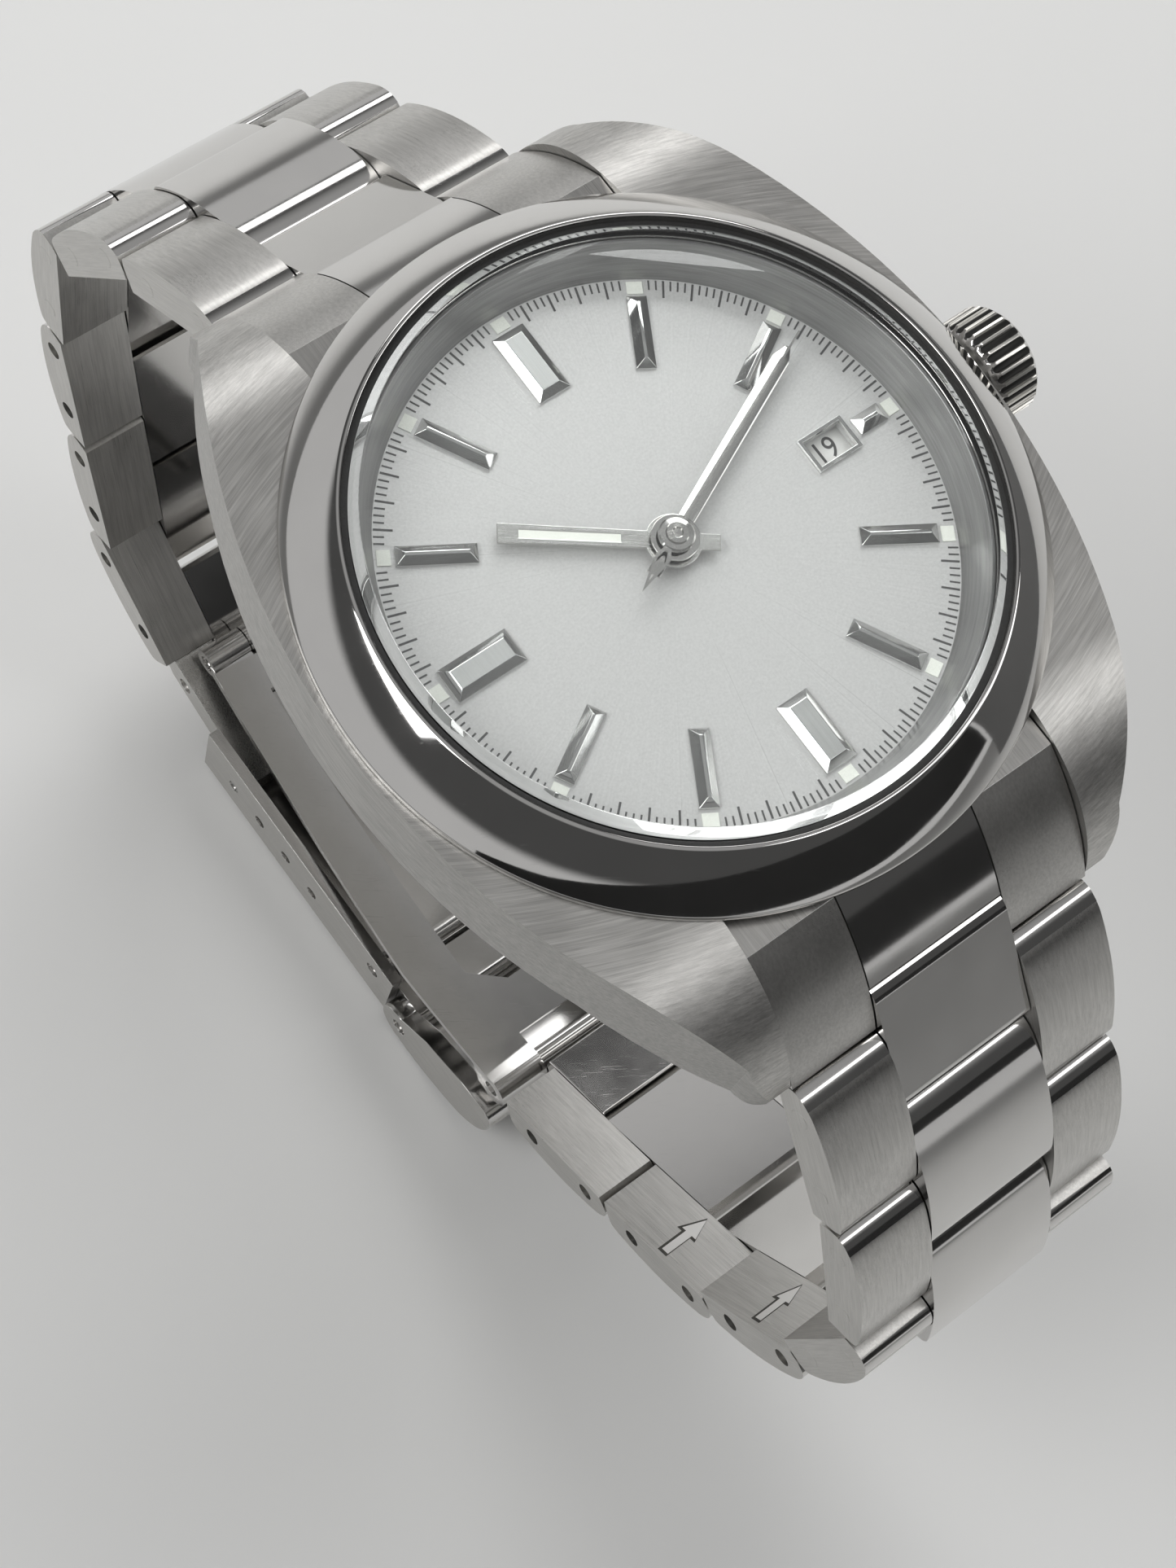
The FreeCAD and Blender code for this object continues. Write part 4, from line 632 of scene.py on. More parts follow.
# %% [markdown]
# ### Turned rings
# The bezel, crystal and flange came off a lathe, and a mirror finish shows every flat of a
# faceted ring. Smooth shading can't hide that at the rim. So these are turned again: the CAD
# piece's section gives the points, each corner gets a small arc, and the section is swept in many
# fine steps.

# %% Section, fillets and a fresh turning
FINE_STEPS = 288
ARC_POINTS = 5
MOST_CUT = 0.45  # of a side's length, so that the arcs at its two ends never meet


def section(node, inside):
    """A turned node's outline as (radius, height), in order round a point within it."""
    corners = {
        (round(v.co.x / MM, 3), round(v.co.z / MM, 3))
        for v in nodes[node].data.vertices if abs(v.co.y) < WELD and v.co.x > 0
    }
    return sorted(corners, key=lambda corner: math.atan2(corner[1] - inside[1], corner[0] - inside[0]))


def filleted(outline, radius):
    """A closed outline whose sharp corners are small arcs."""
    points = []
    corners = [Vector(corner) for corner in outline]
    for before, corner, after in zip(corners[-1:] + corners[:-1], corners, corners[1:] + corners[:1]):
        back, ahead = before - corner, after - corner
        if math.pi - back.angle(ahead) < SHARP:
            points.append(corner)
            continue
        cut = min(radius, back.length * MOST_CUT, ahead.length * MOST_CUT)
        start, end = corner + back.normalized() * cut, corner + ahead.normalized() * cut
        for i in range(ARC_POINTS):
            t = i / (ARC_POINTS - 1)
            points.append(start * (1 - t) ** 2 + corner * 2 * t * (1 - t) + end * t * t)
    return [tuple(point) for point in points]


def turn_again(node, finish, outline, hoop=True):
    """Stands a finely turned piece in for a CAD ring or disc."""
    bm = bmesh.new()
    lathe(bm, outline, FINE_STEPS, hoop)
    bmesh.ops.recalc_face_normals(bm, faces=bm.faces)
    return settle(node + "_piece", bm, [finish], body_of[node], [node])


print("steps round a fine turning:", FINE_STEPS)

# %% [markdown]
# ## The bracelet
# Each row of the bracelet is one pair of outer links and a centre link that bridges to the next
# row. Every row turns on its own pin, so the way from one hinge to the next says how a row lies,
# and its brushing runs that way. The rounded end of each outer link and the whole centre link
# are polished; the flat sides are left satin. One link could be drawn and repeated, but the rows
# differ in width, length and angle, so each CAD row is dressed as it lies.

# %% How the rows lie
next_row = {joint["parent"]: joint["child"] for joint in frame["joints"] if joint["parent"] != "head"}


def row_lie(body):
    """A row's lie: from its hinge towards the next one, with its outer face up."""
    hinge = Vector(joint_at[body]["pos_m"])
    if body in next_row:
        ahead = Vector(joint_at[next_row[body]]["pos_m"])
    else:
        corners = [v.co for name in nodes if body_of[name] == body for v in nodes[name].data.vertices]
        ahead = sum(corners, Vector()) / len(corners)
        ahead.x = 0
    along = (ahead - hinge).normalized()
    return Lie(hinge, along, Vector(joint_at[body]["axis"]).cross(along))


row_bodies = [body for body in joint_at if body.startswith(("row", "first_link"))]
lies = {body: row_lie(body) for body in row_bodies}
slopes = [round(math.degrees(math.atan2(lie.ways[0].z, lie.ways[0].y))) for lie in lies.values()]
print("rows:", dict(zip(lies, slopes)))

# %% [markdown]
# Polishing rounds the ends of the links far more than a bevel does. In side view each end is an
# arc, tangent to both faces that it joins. A wide bevel would run into the pin holes and into the
# narrow bevels of the sides. So the faces beside such a corner are cut into narrow strips by planes
# through the arc's centre, and then every point beyond the arc is drawn in to it.

# %% Corners of a link
NOSE = 0.55  # how far the rounding of a link's end reaches from its corner
NOSE_AREA = 1.5 * NOSE  # faces that come nearer to the corner are cut
NOSE_CUTS = 6
MILD = math.radians(14)
LEVEL = 0.01  # how far the two ends of a crosswise edge may differ
TOUCH = 0.001  # radians beyond the arc's ends that still count


def crosswise(edge, lie):
    """Whether an edge runs straight across a link, above its pins."""
    first, last = (lie.of(corner.co) for corner in edge.verts)
    return abs(first.x - last.x) < LEVEL and abs(first.z - last.z) < LEVEL and first.z > 0


def way_along(face, spot, lie):
    """The way in which a face runs from a spot of the outline."""
    way = lie.of(face.calc_center_median()) - spot
    normal = lie.turned(face.normal)
    way.y = normal.y = 0
    return (way - normal * way.dot(normal)).normalized()


def nose_corners(bm, lie):
    """The corners of a link's outline: each with the ways that its two faces run from it."""
    corners = {}
    for edge in bm.edges:
        pair = edge.link_faces
        if len(pair) != 2 or not crosswise(edge, lie):
            continue
        if edge.is_convex and edge.calc_face_angle(0) > MILD:
            spot = lie.of(edge.verts[0].co)
            ways = [way_along(face, spot, lie) for face in pair]
            corners[round(spot.x, 2), round(spot.z, 2)] = (Vector((spot.x, 0, spot.z)), *ways)
    return corners.values()


sample = clean_copy("centre_link_6_1")
print("corners of a centre link:", len(nose_corners(sample, lies[body_of["centre_link_6_1"]])))
sample.free()

# %% [markdown]
# The arc's radius and centre follow from the angle of the corner, so that a blunt corner gets a
# wide arc and a square one a tight arc. The cuts are planes, which any mesh takes, whatever other
# edges cross the end of the link.

# %% Round noses
def cut_beside(bm, lie, corner, middle, ray):
    """Cuts the faces near a corner with the plane through the arc's centre along a ray."""
    strips = [
        face for face in bm.faces if abs(lie.turned(face.normal).y) < SIDEWAYS
        and any((lie.of(v.co) - corner).xz.length < NOSE_AREA for v in face.verts)
    ]
    around = list({item for face in strips for item in (*face.verts, *face.edges)}) + strips
    bmesh.ops.bisect_plane(
        bm, geom=around, plane_co=lie.back(middle.x, 0, middle.z),
        plane_no=(lie.back(ray.z, 0, -ray.x) - lie.origin).normalized(),
    )


def round_noses(bm, lie):
    """Cuts the strips beside each corner finer, and pushes them in to an arc."""
    for corner, back, ahead in nose_corners(bm, lie):
        half = back.angle(ahead) / 2
        radius = NOSE * math.tan(half)
        out = -(back + ahead).normalized()
        middle = corner - out * radius / math.sin(half)
        wedge = math.pi / 2 - half
        for i in range(NOSE_CUTS + 1):
            ray = Matrix.Rotation(wedge * (2 * i / NOSE_CUTS - 1), 3, "Y") @ out
            cut_beside(bm, lie, corner, middle, ray)
        for v in bm.verts:
            spot = lie.of(v.co)
            away = Vector((spot.x - middle.x, 0, spot.z - middle.z))
            if away.length > radius and away.angle(out) < wedge + TOUCH:
                away *= radius / away.length
                v.co = lie.back(middle.x + away.x, spot.y, middle.z + away.z)


print("noses reach", NOSE, "mm from their corners, in", NOSE_CUTS, "facets")

# %% [markdown]
# Every link is then dressed in one loop: the rows differ in lie and length, but not in finish. The
# rims of the pressed pins aren't broken, because pins and links were ground flush together. In the
# loose rows the holes are drilled open, and their rims are.

# %% Outer and centre links
OUTER_NOSE = 1.3  # from the hinge back to where the outer link's polished end begins
SIDE_TILT = 0.85  # a face that leans sideways by more is a satin side
PIN_RADIUS = 0.6
RIM = 0.1  # how far a rim's corner may lie from the pin's circle
FIXING_AT = 6.0  # from a row's hinge to the pin that holds its centre link
LOOSE_ROWS = (4, 5, 6)


def at_pin(edge, lie):
    """Whether an edge is part of the rim of a pin's hole."""
    spots = [lie.of(corner.co) for corner in edge.verts]
    return any(
        all(abs(math.hypot(spot.x - along, spot.z) - PIN_RADIUS) < RIM for spot in spots)
        for along in (0.0, FIXING_AT)
    )


def outer_zone(place, normal):
    """0 brushed, 2 polished end, 3 satin side."""
    if abs(normal.y) > SIDE_TILT:
        return 3
    return 2 if place.x < -OUTER_NOSE and normal.z > 0 else 0


links = [name for name in nodes if name.startswith(("outer_links", "centre_link"))]
for name in links:
    lie = lies[body_of[name]]
    loose = int(name.split("_")[-1]) in LOOSE_ROWS
    if name.startswith("outer"):
        finishes = [link_brushed, edge_polish, link_polish, link_side]
        dress(name, finishes, width=0.13 * MM, lie=lie, zone=outer_zone, before=round_noses,
              spared=None if loose else at_pin, outlined=True)
    else:
        finishes = [link_polish, edge_polish]
        dress(name, finishes, width=0.16 * MM, lie=lie, before=round_noses, outlined=True)
print("links dressed:", len(links))

# %% [markdown]
# ### Pins
# The pins of the first rows are pressed in and dressed flush, so only a faint ring shows on the
# side. A ring drawn in the shader would look painted on, so every end is a small turned solid with
# a chamfer. The last rows can be taken out to fit a wrist: their pins sit deep in open holes, and
# an arrow stamped inside each link shows which way to drive them.

# %% Flush pin ends
PIN_STEPS = 32
PIN_CHAMFER = 0.03
PIN_DEEP = 0.5  # how far the drawn end reaches into its hole


def side_at(name, lie, along, aside=2.0, near=1.5):
    """Half the width of a pair of links at a place, from the corners near two places beside it."""
    spots = [lie.of(v.co) for v in nodes[name].data.vertices]
    ends = [
        max((spot.y for spot in spots if abs(spot.x - at) < near), default=0.0)
        for at in (along - aside, along + aside)
    ]
    return sum(ends) / 2


def pin_end(bm, lie, along, side, out):
    """The visible end of a pin, pressed into the side of a link."""
    tip = PIN_RADIUS - PIN_CHAMFER
    rings = []
    for across, radius in ((out - PIN_DEEP, PIN_RADIUS), (out - PIN_CHAMFER, PIN_RADIUS), (out, tip)):
        turns = [2 * math.pi * i / PIN_STEPS for i in range(PIN_STEPS)]
        spots = [(along + radius * math.cos(t), side * across, radius * math.sin(t)) for t in turns]
        rings.append([bm.verts.new(lie.back(*spot)) for spot in spots])
    close_rings(bm, rings if side > 0 else [ring[::-1] for ring in rings])


pin_ends = 0
for name in links:
    row = int(name.split("_")[-1])
    if not name.startswith("outer") or row in LOOSE_ROWS:
        continue
    lie = lies[body_of[name]]
    pins = bmesh.new()
    for along in (0.0, FIXING_AT):
        for side in (1, -1):
            pin_end(pins, lie, along, side, side_at(name, lie, along))
            pin_ends += 1
    settle(name + "_pin_ends", pins, [link_side], body_of[name], lie=lie)
print("flush pin ends:", pin_ends)

# %% [markdown]
# The stamped arrow is built as its floor within a wall. The wall is painted near black, a painted shade of
# a pressed recess, and the floor is polished and painted lighter than the steel around it, a painted
# highlight. Real stampings are pressed in. Here the arrow stands out by a fiftieth of a millimetre instead,
# which no eye can tell, and the mesh of the link stays whole.

# %% Stamped arrows
STAMP_RIM = 0.13
STAMP_SHIFT = 0.07  # the painted shade of the wall shows wider on the shadowed side
STAMP_ROOT = 0.02  # how far the arrow reaches into the link
WALL_HIGH, FLOOR_HIGH = 0.012, 0.02
ARROW_AT = 0.45 * FIXING_AT


def arrow(rim, middle, shift=0.0):
    """The outline of an arrow along X, grown all round by a rim."""
    point = 1.6 * rim  # a pointed corner grows by more than the rim
    half, head, tail, neck, tip = 0.3 + rim, 0.68 + point, -1.7 - rim, 0.25 - rim, 1.7 + point
    upper = [(neck, half), (neck, head), (tip, 0.0)]
    lower = [(neck, -head), (neck, -half), (tail, -half), (tail, half)]
    return [(a - shift - middle, b + shift) for a, b in (upper + lower)][::-1]


# painted shade: the wall is painted near black; painted highlight: the floor is painted lighter than the
# steel
painted_recess_shade = Finish("painted_recess_shade", (0.05, 0.048, 0.042), 0.6, 0.5)
painted_recess_shade.clouded(0.3, (0.03, 0.03, 0.027), (0.1, 0.095, 0.085))
highlit_stamp_floor = polished("highlit_stamp_floor", shade(BRIGHT_STEEL, 1.25), rough=0.3, wear=0.2)
inner_face = min(lies["row_6_5"].of(v.co).z for v in nodes["outer_links_6_5"].data.vertices)
CENTRE_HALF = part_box("centre_link_6_1")[1].x / MM
for row in LOOSE_ROWS:
    name = f"outer_links_6_{row}"
    lie = lies[body_of[name]]
    middle = (CENTRE_HALF + side_at(name, lie, FIXING_AT / 2)) / 2
    across_lie = Lie(lie.back(ARROW_AT, 0, 0), X, -lie.ways[2])
    for part, rim, shift, high, finish in (
        ("wall", STAMP_RIM, STAMP_SHIFT, WALL_HIGH, painted_recess_shade),
        ("floor", 0.0, 0.0, FLOOR_HIGH, highlit_stamp_floor),
    ):
        stamp = bmesh.new()
        outline = arrow(rim, middle, shift)
        prism(stamp, outline, -inner_face - STAMP_ROOT, -inner_face + high, lie=across_lie)
        settle(f"arrow_{part}_{row}", stamp, [finish], body_of[name], lie=across_lie)
print("inner faces at", round(inner_face, 2), "mm; arrows on rows", LOOSE_ROWS)

# %% [markdown]
# ### End links
# The end links fill the space between the lugs. Each is one solid, but it is cut to look like the rows that
# follow: two fine grooves part a polished middle from its brushed sides. Dark lines in the shader alone
# would stay flat in grazing light, so the grooves are real: thin strips of faces are cut free with two
# planes each and pushed in. Their faces are also painted near black, a painted shade.

# %% End links
GROOVE = 0.09
GROOVE_DEEP = 0.1
GROOVE_SLOPE = 0.004  # how far a groove's walls lean in
GROOVE_FOOT = 2.0  # the grooves stay above this height
DARK = 3  # the finish slot of the grooves, painted near black as shade


def in_groove(face):
    """Whether a face lies between the two cuts of a groove and looks outwards."""
    middle = face.calc_center_median() / MM
    outward = face.normal.z > 0.2 or abs(face.normal.y) > 0.8
    between = abs(abs(middle.x) - CENTRE_HALF) < GROOVE * 0.45
    return between and outward and abs(face.normal.x) < 0.1 and middle.z > GROOVE_FOOT


def end_link_grooves(bm):
    """Cuts the two lengthwise grooves into the outward faces."""
    for side in (1, -1):
        for edge in (CENTRE_HALF - GROOVE / 2, CENTRE_HALF + GROOVE / 2):
            everything = bm.verts[:] + bm.edges[:] + bm.faces[:]
            bmesh.ops.bisect_plane(bm, geom=everything, plane_co=(side * edge * MM, 0, 0), plane_no=X)
    strip = [face for face in bm.faces if in_groove(face)]
    depth = -GROOVE_DEEP * MM
    grown = bmesh.ops.inset_region(bm, faces=strip, thickness=GROOVE_SLOPE * MM, depth=depth)
    # the groove's faces take the near-black finish, a painted shade
    for face in grown["faces"] + strip:
        face.material_index = DARK


def end_zone(place, normal):
    """0 brushed sides, 2 polished middle."""
    return 2 if abs(place.y) < CENTRE_HALF else 0


# the last finish, near black, is the painted shade in the grooves
end_finishes = [link_brushed, edge_polish, link_polish, painted_recess_shade]
dress("end_links", end_finishes, width=0.13 * MM, zone=end_zone, shape=end_link_grooves)
print("end links grooved at", round(CENTRE_HALF, 2), "mm either side")

# %% [markdown]
# ## The case
# The case is one forging. Its top is grained by hand in long arcs that sweep over each pair of lugs, its
# flanks are finer satin, painted darker as shade, and the bevel between them is polished. The arcs are
# drawn in the shader about a centre well behind the dial, because a straight grain would miss their sweep.

# %% Case, bezel and case back
TOP_TILT = 0.25  # a face that looks up by more belongs to the top
BACK_FLAT = 12.5  # radius of the brushed middle of the case back
BEZEL_INSIDE = (17.2, 8.6)  # a radius and height within the bezel's steel
BEZEL_LIP = 0.11  # radius of the round lip beside the crystal


def case_zone(place, normal):
    """0 the arched top, 2 the flanks and underside."""
    return 0 if normal.z > TOP_TILT else 2


def back_zone(place, normal):
    """0 the turned middle, 2 the polished rim."""
    return 0 if place.xy.length < BACK_FLAT else 2


turned_steel = brushed("turned_steel", BRIGHT_STEEL, rough=0.22, contrast=0.12,
                       grain=Finish.round_grain)
dress("mid_case", [case_brushed, edge_polish, satin], width=0.14 * MM, zone=case_zone)
turn_again("bezel", bezel_mirror, filleted(section("bezel", BEZEL_INSIDE), BEZEL_LIP))
dress("case_back", [turned_steel, edge_polish, link_polish], width=0.12 * MM, zone=back_zone)

# %% [markdown]
# ## Crown
# The crown is turned from bar and cut with thirty round flutes for grip. The ridges are polished and
# painted a light cream, a painted highlight; the flutes are painted near black and rougher, a painted
# shade. The shader could look for hollows with Ambient Occlusion, but here the distance from the crown's
# own axis tells ridge from flute, and costs nothing.

# %% Crown
crown_low, crown_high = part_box("crown")
crown_lie = Lie(Vector((crown_low.x, 0, (crown_low.z + crown_high.z) / 2)), X, Z)
crown_radius = (crown_high.z - crown_low.z) / 2 / MM
flute = Finish("flute_steel", shade(STEEL, 0.6), 1.0, 0.4)
along, across, up = flute.parts(flute.grain())
# painted shade near black in the flutes and painted highlight, a light cream, on the ridges, told apart by
# the distance from the crown's axis
flute_shade_mask = 1 - ((across * across + up * up) ** 0.5).above(edge=crown_radius - 0.1, soft=0.05)
flute.feed(Base_Color=flute.mix(flute_shade_mask, (0.86, 0.84, 0.79), shade(STEEL, 0.1)), Roughness=0.3 + flute_shade_mask * 0.3)
flute.bump(flute.noise(flute.grain(), (2.0, 0.06, 0.06), 2.0), 0.002)


def crown_zone(place, normal):
    """0 the fluted side, 2 the polished ends."""
    return 2 if abs(normal.x) > 0.5 else 0


dress("crown", [flute, edge_polish, link_polish], width=0.05 * MM, lie=crown_lie, zone=crown_zone)
print("crown radius", round(crown_radius, 2), "mm")

# %% [markdown]
# ## Clasp
# The folding clasp is bent from sheet. Outside it is brushed like the links; the two blades that
# lie against the wrist are polished, because that is kinder to skin. They carry the marks of being
# opened and shut every day. Faces could be picked by hand for each finish; a rule on the way that a
# face looks does the same, and still holds when a size of the clasp changes.

# %% Clasp
clasp_brushed = brushed("clasp_brushed", rough=0.28, contrast=0.16)
blade_polish = polished("blade_polish", shade(BRIGHT_STEEL, 0.95), rough=0.14, wear=0.8)


def shell_zone(place, normal):
    """0 the outside, 2 the satin side walls, 3 the polished inside."""
    if abs(normal.y) > SIDE_TILT:
        return 2
    return 3 if normal.z > 0.5 else 0


def tail_zone(place, normal):
    """0 the two faces, 2 the satin sides."""
    return 2 if abs(normal.y) > SIDE_TILT else 0


clasp_finishes = [clasp_brushed, edge_polish, link_side, blade_polish]
for name in ("clasp_shell", "safety_catch"):
    dress(name, clasp_finishes, width=0.1 * MM, zone=shell_zone)
dress("clasp_end_link", clasp_finishes, width=0.12 * MM, zone=tail_zone)
for name in ("outer_blade", "inner_blade"):
    dress(name, [blade_polish, edge_polish], width=0.12 * MM)
clasp_bodies = ("clasp", "safety", "outer_blade", "inner_blade")
print("clasp pieces:", [name for name in nodes if body_of[name].startswith(clasp_bodies)])

# %% [markdown]
# ## Dial
# A silvered dial is brass brushed outwards from its centre and then silver plated, under a thin
# lacquer. Each radial scratch sends light sideways only, so the dial shows a soft fan that turns
# with the light. The sunburst is noise along the angle alone: a ring of painted rays would stand
# still. The dial is given part of a metal's shine and part of a matt white, because plated silver
# is finely frosted.

# %% Silvered dial
MID_RADIUS = 10  # the scratches tilt the light less within it, and more beyond
dial_silver = Finish("dial_silver", (0.78, 0.78, 0.77), 0.32, 0.3, Coat_Weight=0.2)
arc, radius, height = dial_silver.parts(dial_silver.round_grain())
rays = {"W": arc / radius, "Scale": 110.0, "Detail": 4.0, "Roughness": 0.7}
ray = dial_silver.node("ShaderNodeTexNoise", {"noise_dimensions": "1D"}, rays)
frost = dial_silver.noise(dial_silver.place(), (0.13, 0.13, 0.13), 3.0, 0.7)
dial_tone = (ray * 0.3 + frost * 0.7).above(0.5, 0.25)
dial_silver.feed(
    Base_Color=dial_silver.mix(dial_tone, (0.49, 0.49, 0.485), (0.6, 0.6, 0.592)),
    Roughness=0.3 + (ray - 0.5) * 0.12,
)
dial_silver.bump(ray * (radius / MID_RADIUS) + frost, 0.0035)
coat(dial_silver, "dial")
DIAL_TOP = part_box("dial")[1].z / MM
print("dial top at", round(DIAL_TOP, 2), "mm")

# %% [markdown]
# ### Printed track and luminous pips
# The minute track is pad printed: four strokes to a minute, the whole minutes longer. Ink lies on
# the plate as a film about a hundredth of a millimetre thick. A texture would go soft up close, so
# each stroke is a thin prism. A small block of pale luminous paint stands outside each hour marker.

# %% Track and pips
INK = 0.012  # thickness of the film
ROOT = 0.005  # how far print and paint reach into the dial, so that no gap shows
STROKES = 240
FLANGE_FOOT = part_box("dial_flange")[1].x / MM - 1.1  # the flange slopes in by as much
TRACK_OUT = min(14.95, FLANGE_FOOT)
LONG_STROKE, SHORT_STROKE = 0.98, 0.55
LONG_HALF, SHORT_HALF = 0.06, 0.048
PIP_HALF, PIP_IN, PIP_OUT, PIP_HIGH = 0.42, 0.8, 0.1, 0.06

ink = Finish("printing_ink", (0.03, 0.03, 0.03), 0.0, 0.4)
ink.clouded(0.15, (0.02, 0.02, 0.02), (0.07, 0.07, 0.07))
lume = Finish("luminous_paint", (0.78, 0.8, 0.74), 0.0, 0.6)
lume.bump(lume.clouded(0.08, (0.66, 0.68, 0.62), (0.84, 0.86, 0.8), 3.0), 0.01)

track = bmesh.new()
for i in range(STROKES):
    beside_hour = (i + 1) % (STROKES // 12) <= 2
    if beside_hour:
        continue
    half, length = (LONG_HALF, LONG_STROKE) if i % 4 == 0 else (SHORT_HALF, SHORT_STROKE)
    outline = rectangle(-half, half, TRACK_OUT - length, TRACK_OUT)
    prism(track, outline, DIAL_TOP - ROOT, DIAL_TOP + INK, 2 * math.pi * i / STROKES)
settle("minute_track", track, [ink], "head")

pips = bmesh.new()
for hour in range(12):
    outline = rectangle(-PIP_HALF, PIP_HALF, TRACK_OUT - PIP_IN, TRACK_OUT - PIP_OUT)
    prism(pips, outline, DIAL_TOP - ROOT, DIAL_TOP + PIP_HIGH, math.radians(30 * hour))
settle("luminous_pips", pips, [lume], "head")
print("track out to", round(TRACK_OUT, 2), "mm")

# %% [markdown]
# ### Applied markers and flange
# The markers are diamond-cut batons with sloping facets, fixed by feet through the dial. The broad
# ones at 12, 6 and 9 o'clock have a matt flat strip on top. The CAD facets are right as they are,
# so only the finishes have to be shared out, and height and area tell the flats from the facets.
# The flange is the sloping ring that hides the edge of the dial; it is turned, so its grain runs
# round.

# %% Markers and flange
marker_polish = polished("marker_polish", (0.74, 0.74, 0.73), rough=0.06, wear=0.1)
marker_matt = brushed("marker_matt", (0.6, 0.61, 0.6), rough=0.4, contrast=0.1, lines=0.05)
flange_turned = brushed("flange_turned", (0.34, 0.34, 0.335), rough=0.4, contrast=0.25, lines=0.1,
                        grain=Finish.round_grain)
marker_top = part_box("hour_markers")[1].z / MM
BROAD_FLAT = 2.0 * MM * MM  # square metres: only the broad markers' flats are larger
TOP_DEPTH = 0.02  # a flat top lies no further than this below the highest point
FLANGE_INSIDE = (15.8, 7.6)  # a radius and height within the flange


def mark_flats(bm):
    """Gives the broad markers' flat tops the matt finish."""
    for face in bm.faces:
        on_top = face.calc_center_median().z / MM > marker_top - TOP_DEPTH
        if on_top and face.normal.z > 0.99 and face.calc_area() > BROAD_FLAT:
            face.material_index = 2


marker_finishes = [marker_polish, marker_polish, marker_matt]
dress("hour_markers", marker_finishes, width=0.025 * MM, shape=mark_flats)
turn_again("dial_flange", flange_turned, filleted(section("dial_flange", FLANGE_INSIDE), radius=0.04))
print("marker tops at", round(marker_top, 2), "mm")

# %% [markdown]
# ### Date
# The date ring is a white lacquered disc with thirty-one printed numbers, of which one shows. The
# numbers are text objects turned into meshes, which stay sharp however near one looks. They are
# laid round the ring so that the joint that turns it brings the next day into the window.

# %% Date ring
TODAY, DAYS = 19, 31
WINDOW_AT = 10.4  # from the dial's axis to the middle of the window
NUMERAL_HIGH = 1.75
NARROW = 0.86  # date numerals are narrower than a plain typeface
enamel = Finish("date_enamel", (0.8, 0.8, 0.78), 0.0, 0.35, Coat_Weight=0.3)
enamel.bump(enamel.clouded(0.5, (0.68, 0.68, 0.66), (0.8, 0.8, 0.78), 3.0), 0.004)
coat(enamel, "date_disc")


def numeral(text, height):
    """A number as a thin mesh at the origin, upright along Y."""
    curve = bpy.data.curves.new("numeral", "FONT")
    curve.body = text
    curve.size = height * MM
    curve.extrude = INK * MM
    curve.align_x, curve.align_y = "CENTER", "CENTER"
    item = bpy.data.objects.new("numeral", curve)
    bpy.context.scene.collection.objects.link(item)
    seen = item.evaluated_get(bpy.context.evaluated_depsgraph_get())
    mesh = bpy.data.meshes.new_from_object(seen)
    bpy.data.objects.remove(item)
    return mesh


date_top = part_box("date_disc")[1].z
numbers = bmesh.new()
for day in range(1, DAYS + 1):
    mesh = numeral(str(day), NUMERAL_HIGH)
    spin = Matrix.Rotation(2 * math.pi * (day - TODAY) / DAYS, 4, "Z")
    spot = Matrix.Translation((WINDOW_AT * MM, 0, date_top))
    mesh.transform(spin @ spot @ Matrix.Diagonal((NARROW, 1.0, 1.0, 1.0)))
    numbers.from_mesh(mesh)
    bpy.data.meshes.remove(mesh)
settle("date_numbers", numbers, [ink], body_of["date_disc"])
print("days printed:", DAYS, "with", TODAY, "showing")

# %% [markdown]
# ## Hands
# The hour hand is a flat baton with a slot filled with luminous paint. The minute hand is folded
# to a ridge, so that one facet is bright while the other is dark. The CAD hour hand has its slot,
# and the paint is let into it, a little below the top. The minute hand's blade is flat: a ridge
# could be cut from it, but a low roof set on top leaves the blade as it is.

# %% Hour and minute hand
hand_satin = brushed("hand_satin", (0.62, 0.62, 0.6), rough=0.24, contrast=0.1, lines=0.06)
hand_bright = polished("hand_bright", (0.78, 0.77, 0.75), rough=0.07, wear=0.1)


def pointing(name):
    """A hand's lie, from the dial's axis towards its tip, and its reach in millimetres."""
    tips = sorted((v.co.xy for v in nodes[name].data.vertices), key=lambda p: -p.length)
    reach = tips[0].length
    tip = sum((p for p in tips if p.length > reach - 0.05 * MM), Vector((0, 0)))
    return Lie(along=Vector((tip.x, tip.y, 0)).normalized()), reach / MM


def blade_top(name):
    """Height of the top of a hand's blade."""
    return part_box(name)[1].z / MM


SLOT_HALF, SLOT_FROM, SLOT_TO = 0.22, 0.3, 0.88  # half its width, and its ends as shares of the reach
PAINT_LOW, PAINT_HIGH = 0.15, 0.03  # under the top of the blade
hour_lie, hour_reach = pointing("hour_hand")
hour_top = blade_top("hour_hand")
dress("hour_hand", [hand_satin, hand_bright], width=0.035 * MM, lie=hour_lie)
strip = bmesh.new()
outline = rectangle(hour_reach * SLOT_FROM, hour_reach * SLOT_TO, -SLOT_HALF, SLOT_HALF)
prism(strip, outline, hour_top - PAINT_LOW, hour_top - PAINT_HIGH, lie=hour_lie)
settle("hour_hand_lume", strip, [lume], body_of["hour_hand"], lie=hour_lie)

